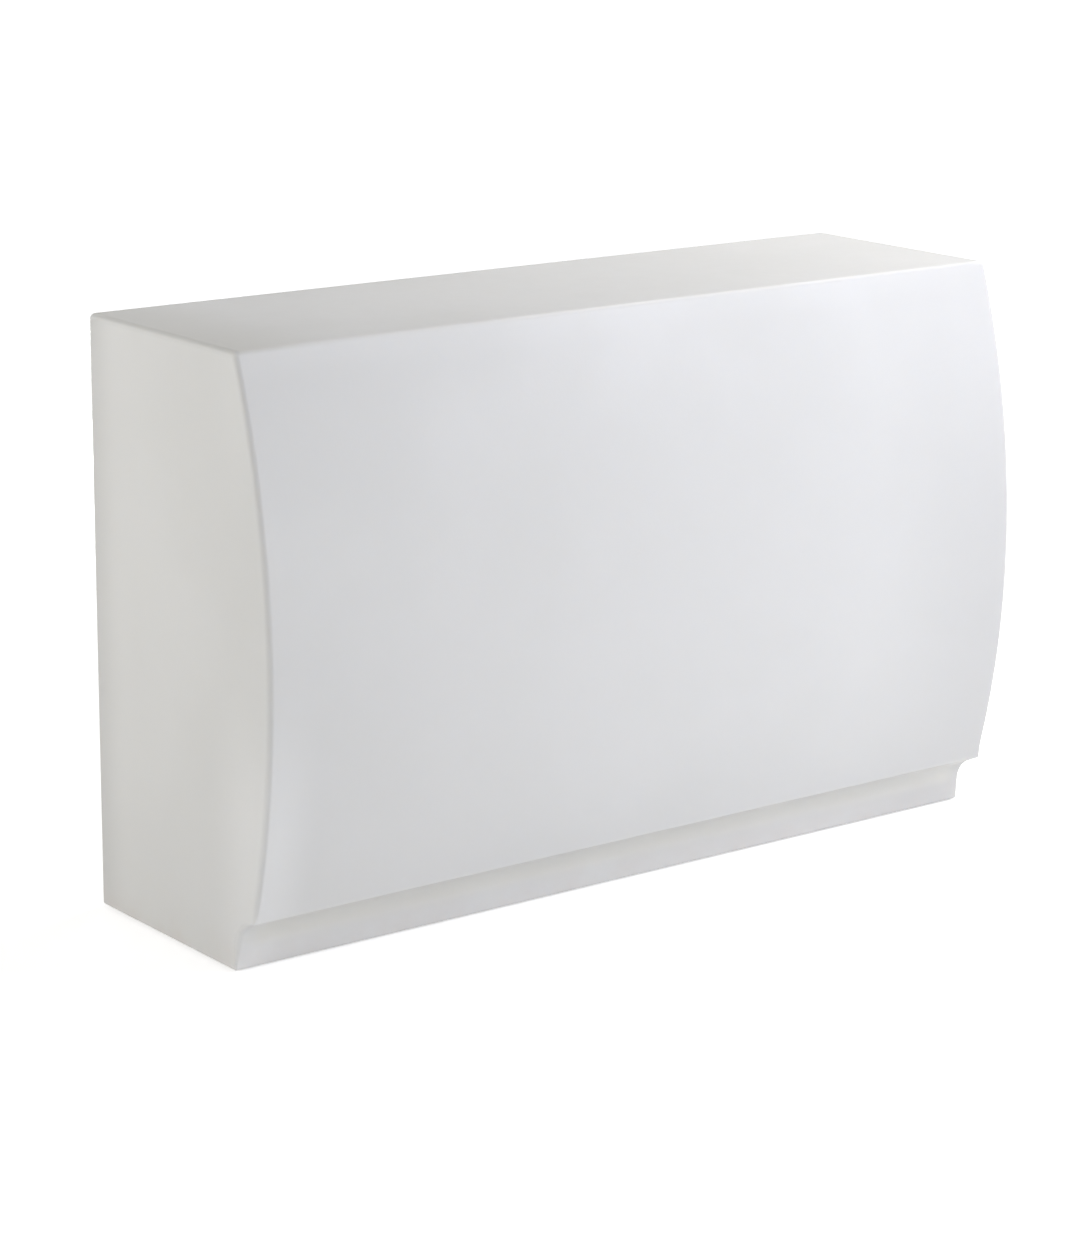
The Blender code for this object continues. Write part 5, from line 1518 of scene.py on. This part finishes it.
class COUNTER_OT_make_gland(Operator):
    """Makes the empty cable gland: body, dome nut and seal"""

    bl_idname = "counter.make_gland"
    bl_label = "Cable gland"

    def execute(self, context):
        size = context.scene.counter_hatch
        low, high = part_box("gland_body")
        face = Vector(((low.x + high.x) / 2, low.y + size.thread_length, (low.z + high.z) / 2))
        grey, rubber = finish("Grey polyamide"), finish("Black rubber")
        wide, bore, length = size.gland_hexagon, size.bore_radius, size.thread_length
        hexagon_top, flats = size.hexagon_height, hexagon(size.gland_hexagon)
        top = hexagon_top + size.collar_height
        body = [
            (bore, -length, False),
            (size.thread_radius, -length, False),
            (size.thread_radius, 0.0, False),
            (wide * GLAND_FACE, 0.0, True),
            (wide, GLAND_FOOT, True),
            (wide, hexagon_top - GLAND_SHOULDER, True),
            (wide * GLAND_FACE, hexagon_top, True),
            (size.collar_radius, hexagon_top, False),
            (size.collar_radius, top, False),
            (bore, top, False),
        ]
        mesh = facing_service(gland_piece("Gland body", body, flats), face)
        settle("cable_gland_body", mesh, grey, "root", "grey_plastic", "gland_body", crisp=25)

        start = hexagon_top + SEAT
        skirt, crown = start + size.dome_skirt, start + size.dome_height
        inner, mouth = size.collar_radius + PLAY, size.dome_mouth
        seal_low = top + SEAT
        roof = seal_low + size.seal_height + SEAT
        outer = inner + size.dome_wall
        dome = [
            (inner, start, False),
            (wide * DOME_FACE, start, True),
            (wide, start + GLAND_SHOULDER, True),
            (wide, skirt - DOME_SHOULDER, True),
            (wide * DOME_FACE, skirt, True),
        ]
        for i in range(DOME_STEPS + 1):
            angle = math.pi / 2 * i / DOME_STEPS
            radius = mouth + size.dome_wall + (outer - mouth - size.dome_wall) * math.cos(angle)
            dome.append((radius, skirt + (crown - skirt) * math.sin(angle), False))
        mouth_rows = ((mouth + TIP, crown), (mouth, crown - TIP), (mouth, roof), (inner, roof))
        dome += [(radius, z, False) for radius, z in mouth_rows]
        mesh = facing_service(gland_piece("Dome nut", dome, flats), face)
        settle("cable_gland_nut", mesh, grey, "root", "grey_plastic", "gland_dome", crisp=25)

        high, outer, inner = seal_low + size.seal_height, size.seal_radius, size.seal_bore
        corners = [(outer, seal_low), (outer, high), (inner, high), (inner, seal_low)]
        seal = rounded_profile(corners, SEAL_ROUND, 4, closed=True)
        mesh = facing_service(turned("Seal", seal, 48, closed=True), face)
        settle("cable_gland_seal", mesh, rubber, "root", "rubber", "gland_seal")
        return {"FINISHED"}


# Feet


def pad_mesh(feet):
    """A foot's pad: a fluted rim, a hollowed flank and a socket round the ball."""
    play = feet.ball_radius + PLAY
    profile = [(AXIS, 0.0), (feet.pad_radius - feet.chamfer, 0.0), (feet.pad_radius, feet.chamfer)]
    profile += [(feet.pad_radius, feet.pad_rim - 0.001), (feet.pad_radius - 0.001, feet.pad_rim)]
    spread = feet.pad_radius - 0.001 - feet.pad_top_radius
    drop = feet.pad_height - feet.pad_rim
    for across, up in arc((1.0, 1.0), 1.0, -math.pi / 2, -math.pi, 10)[1:]:
        profile.append((feet.pad_top_radius + spread * across, feet.pad_rim + drop * up))
    mouth = math.pi / 4
    profile.append((play * math.cos(mouth), feet.pad_height))
    for across, up in arc((0.0, 0.0), play, mouth, -math.pi / 2, 10):
        profile.append((max(across, AXIS), feet.ball_height + up))

    def flutes(angle, radius):
        rim = max(0.0, (radius - feet.pad_radius + FLUTE_WIDTH) / FLUTE_WIDTH)
        return radius - rim * FLUTE_DEPTH * (0.5 - 0.5 * math.cos(angle * feet.flutes)) ** 2

    return turned("Pad", profile, 4 * feet.flutes, shape=flutes)


def stem_mesh(feet, material):
    """A stem in one mesh, from its ball's middle up: ball, neck, hexagon and helical thread."""
    low = feet.pad_height + feet.chamfer - feet.ball_height
    high = low + feet.hexagon_height
    neck = math.acos(feet.neck_radius / feet.ball_radius)
    ball = [(max(r, AXIS), z) for r, z in arc((0.0, 0.0), feet.ball_radius, -math.pi / 2, neck, 12)]
    ball += [(feet.neck_radius, low + feet.chamfer), (AXIS, low + feet.chamfer)]
    wide = feet.stem_hexagon
    flats = hexagon(wide, 0.9)
    face, edge = wide * NUT_FACE, NUT_CHAMFER
    rows = ((face, low), (wide, low + edge), (wide, high - edge), (face, high))
    nut = [ring(radius, z, 48, flats) for radius, z in rows]
    nut = [ring(AXIS, low, 48), *nut, ring(AXIS, high, 48)]
    rod_mesh = bpy.data.meshes.new("Rod")
    tree = bpy.data.node_groups.get("Threaded rod") or thread_tree()
    sizes = {
        "radius": feet.stem_radius,
        "depth": feet.pitch * 0.6,
        "pitch": feet.pitch,
        "length": feet.stem_length,
        "start": high,
    }
    thread = grown(placed("Rod", rod_mesh), tree, material=material, **sizes)
    thread = turned_outwards(thread, WELD)
    bm = bmesh.new()
    bm.from_mesh(thread)
    bmesh.ops.holes_fill(bm, edges=[edge for edge in bm.edges if edge.is_boundary], sides=0)
    bmesh.ops.recalc_face_normals(bm, faces=bm.faces)
    bm.to_mesh(thread)
    bm.free()
    return merged("Stem", turned("Ball", ball, 32), loft("Stem nut", nut), thread)


def flanged_sleeve(name, bore, radius, length, flange_radius, flange, rounding, steps):
    """A sleeve whose flange closes on the face that it stands in."""
    low = -SEAT - flange
    corners = [(bore, length), (radius, length), (radius, -SEAT)]
    corners += [(flange_radius, -SEAT), (flange_radius, low), (bore, low)]
    profile = rounded_profile(corners, rounding, steps, closed=True)
    return turned(name, profile, 48, closed=True)


class COUNTER_OT_make_feet(Operator):
    """Makes the six levelling feet and the vent plug in the base"""

    bl_idname = "counter.make_feet"
    bl_label = "Levelling feet"

    def execute(self, context):
        scene = context.scene
        feet, size = scene.counter_feet, scene.counter_body
        black, zinc = finish("Black polyamide"), finish("Zinc-plated steel")
        insert = flanged_sleeve(
            "Insert", feet.stem_radius + PLAY, feet.insert_radius, feet.insert_length,
            feet.flange_radius, feet.flange, rounding=INSERT_ROUND, steps=3,
        )
        shapes = {"pad": pad_mesh(feet), "stem": stem_mesh(feet, zinc), "insert": insert}
        for name in FEET:
            middle = middle_of("foot_pad_" + name)
            parts = (
                ("pad", black, name + "_pad", "foot_plastic", 0.0),
                ("stem", zinc, name + "_stem", "foot_steel", feet.ball_height),
                ("insert", zinc, "root", "foot_steel", size.lift + feet.pocket_depth),
            )
            for part, material, body, slot, height in parts:
                mesh = shapes[part].copy()
                mesh.transform(Matrix.Translation((middle.x, middle.y, height)))
                piece = f"levelling_{part}_{name}"
                settle(piece, mesh, material, body, slot, f"foot_{part}_{name}")
        plug = flanged_sleeve(
            "Vent plug", feet.vent_bore, feet.vent_radius, feet.vent_length,
            feet.vent_flange_radius, feet.vent_flange, rounding=PLUG_ROUND, steps=4,
        )
        vent = middle_of("vent_plug")
        plug.transform(Matrix.Translation((vent.x, vent.y, size.lift)))
        settle("base_vent_plug", plug, black, "root", "foot_plastic", "vent_plug")
        return {"FINISHED"}


# Light unit


LIGHT_UNIT = {
    "Aluminium sheet": ("light_tray",),
    "White driver housing": ("led_driver",),
    "Grey polyamide": ("terminal_block", "gland_locknut"),
    "Black rubber": ("hatch_gasket", "supply_lead", "light_lead", "lead_grommet"),
    "White circuit board": tuple(f"light_module_{number}" for number in range(1, 5)),
}


class COUNTER_OT_dress_light_unit(Operator):
    """Gives the light unit, its leads, gasket and lock nut their finishes"""

    bl_idname = "counter.dress_light_unit"
    bl_label = "Light unit"

    def execute(self, context):
        for name, nodes in LIGHT_UNIT.items():
            for node in nodes:
                dress(node, name)
        return {"FINISHED"}


# Stage


CAMERA_PLACE = (-4.19630, -5.41758, 2.25276)
CAMERA_RIGHT = (0.79621597, -0.60498827, 0.0054145)
CAMERA_DOWN = (-0.14661266, -0.20162191, -0.96842828)
CAMERA_FORWARD = (0.58697944, 0.77028422, -0.24923353)
CAMERA_LENS = 104.11


def shown_directly(nodes):
    """One for rays that carry the background to the eye: straight, mirrored or through glass."""
    path = nodes.tree.nodes.new("ShaderNodeLightPath").outputs
    seen = nodes.math("MAXIMUM", path["Is Camera Ray"], path["Is Glossy Ray"])
    return nodes.math("MAXIMUM", seen, path["Is Transmission Ray"])


WHITE = (1.0, 1.0, 1.0)
LAMPLIGHT = (1.0, 0.98, 0.94)
DAYLIGHT = (0.95, 0.955, 1.0)
WINDOW_LIGHT = (0.87, 0.885, 1.0)
MIDDLE = (0.0, 0.0, 0.6)
# Each lamp: its colour, its place, what it looks at, its width and its height
LAMPS = {
    "left": (LAMPLIGHT, (-4.3, 1.0, 1.75), MIDDLE, 2.2, 2.2),
    "front": (WHITE, (0.4, -5.2, 1.0), MIDDLE, 3.6, 1.6),
    "right": (DAYLIGHT, (3.6, -3.2, 2.2), (0.6, -0.2, 0.8), 2.0, 2.0),
    "near_right": (WINDOW_LIGHT, (2.0, -2.6, 2.6), (0.8, -0.2, 0.9), 1.4, 1.4),
    "top": (LAMPLIGHT, (2.2, 0.4, 3.6), (0.6, 0.0, 1.1), 2.0, 2.0),
    "service": (WHITE, (0.6, 4.6, 0.65), MIDDLE, 3.0, 0.9),
}


def studio_light(name, power, tint, place, target, width, height):
    light = bpy.data.lights.new(name, "AREA")
    light.shape = "RECTANGLE"
    light.size = width
    light.size_y = height
    light.energy = power
    light.color = tint
    obj = placed(name, light)
    obj.location = place
    obj.rotation_euler = (Vector(target) - Vector(place)).to_track_quat("-Z", "Y").to_euler()
    obj.visible_camera = False


class COUNTER_OT_make_stage(Operator):
    """Sets the pale floor, the studio light, the white background and the camera"""

    bl_idname = "counter.make_stage"
    bl_label = "Stage"

    def execute(self, context):
        scene = context.scene
        stage = scene.counter_stage
        scene.view_settings.view_transform = "Standard"
        sheet = mesh_from("Studio floor", lambda bm: bmesh.ops.create_grid(bm, size=30.0))
        floor = placed("Studio floor", sheet)
        nodes = Finish("Studio paper", (0.80, 0.80, 0.80), 0.9)
        nodes.bump(nodes.noise(nodes.place, 900.0, 3.0), 0.05, 0.0002)
        distance = nodes.vector("LENGTH", nodes.place, out="Value")
        away = nodes.spread(distance, 2.0, 5.0, stage.floor, 1.0)
        nodes.give({"Emission Strength": nodes.times(shown_directly(nodes), away)})
        nodes.give({"Emission Color": full(WHITE)})
        floor.data.materials.append(nodes.material)

        world = bpy.data.worlds.new("Studio")
        world.use_nodes = True
        scene.world = world
        background = world.node_tree.nodes["Background"]
        nodes = Nodes(world.node_tree)
        seen = shown_directly(nodes)
        strength = nodes.plus(nodes.times(seen, 1.0 - stage.ambient), stage.ambient)
        nodes.feed(strength, background.inputs["Strength"])
        background.inputs["Color"].default_value = full(WHITE)
        for key, settings in LAMPS.items():
            name = key.replace("_", " ").capitalize() + " light"
            studio_light(name, getattr(stage, key), *settings)

        camera = bpy.data.cameras.new("Photograph's view")
        camera.lens = CAMERA_LENS
        camera.clip_end = 100.0
        view = placed("Photograph's view", camera)
        axes = (Vector(CAMERA_RIGHT), -Vector(CAMERA_DOWN), -Vector(CAMERA_FORWARD))
        turn = Matrix(axes).transposed().to_4x4()
        view.matrix_world = Matrix.Translation(CAMERA_PLACE) @ turn
        scene.camera = view
        return {"FINISHED"}


class COUNTER_PT_panel(Panel):
    """Lists the counter's pieces in the order they are made"""

    bl_idname = "COUNTER_PT_panel"
    bl_label = "Bar Counter"
    bl_space_type = "VIEW_3D"
    bl_region_type = "UI"
    bl_category = "Bar Counter"

    def draw(self, context):
        layout = self.layout
        for operator in OPERATORS:
            layout.operator(operator.bl_idname)
        for label, name in GROUPS.items():
            box = layout.box()
            box.label(text=name.__doc__.rstrip("."))
            settings = getattr(context.scene, label)
            for key in name.__annotations__:
                box.prop(settings, key)


GROUPS = {
    "counter_body": CounterBody,
    "counter_shelves": CounterShelves,
    "counter_fasteners": CounterFasteners,
    "counter_hatch": CounterHatch,
    "counter_feet": CounterFeet,
    "counter_colours": CounterColours,
    "counter_stage": CounterStage,
}

OPERATORS = (
    COUNTER_OT_make_body,
    COUNTER_OT_make_shelves,
    COUNTER_OT_make_fasteners,
    COUNTER_OT_make_hatch,
    COUNTER_OT_make_gland,
    COUNTER_OT_make_feet,
    COUNTER_OT_dress_light_unit,
    COUNTER_OT_make_stage,
)


def register():
    for group in GROUPS.values():
        bpy.utils.register_class(group)
    for operator in OPERATORS:
        bpy.utils.register_class(operator)
    bpy.utils.register_class(COUNTER_PT_panel)
    for label, group in GROUPS.items():
        setattr(bpy.types.Scene, label, PointerProperty(type=group))


def unregister():
    for label in GROUPS:
        delattr(bpy.types.Scene, label)
    bpy.utils.unregister_class(COUNTER_PT_panel)
    for operator in reversed(OPERATORS):
        bpy.utils.unregister_class(operator)
    for group in reversed(tuple(GROUPS.values())):
        bpy.utils.unregister_class(group)


def main():
    register()
    bpy.ops.counter.make_body()
    bpy.ops.counter.make_shelves()
    bpy.ops.counter.make_fasteners()
    bpy.ops.counter.make_hatch()
    bpy.ops.counter.make_gland()
    bpy.ops.counter.make_feet()
    bpy.ops.counter.dress_light_unit()
    bpy.ops.counter.make_stage()


if __name__ == "__main__":
    main()
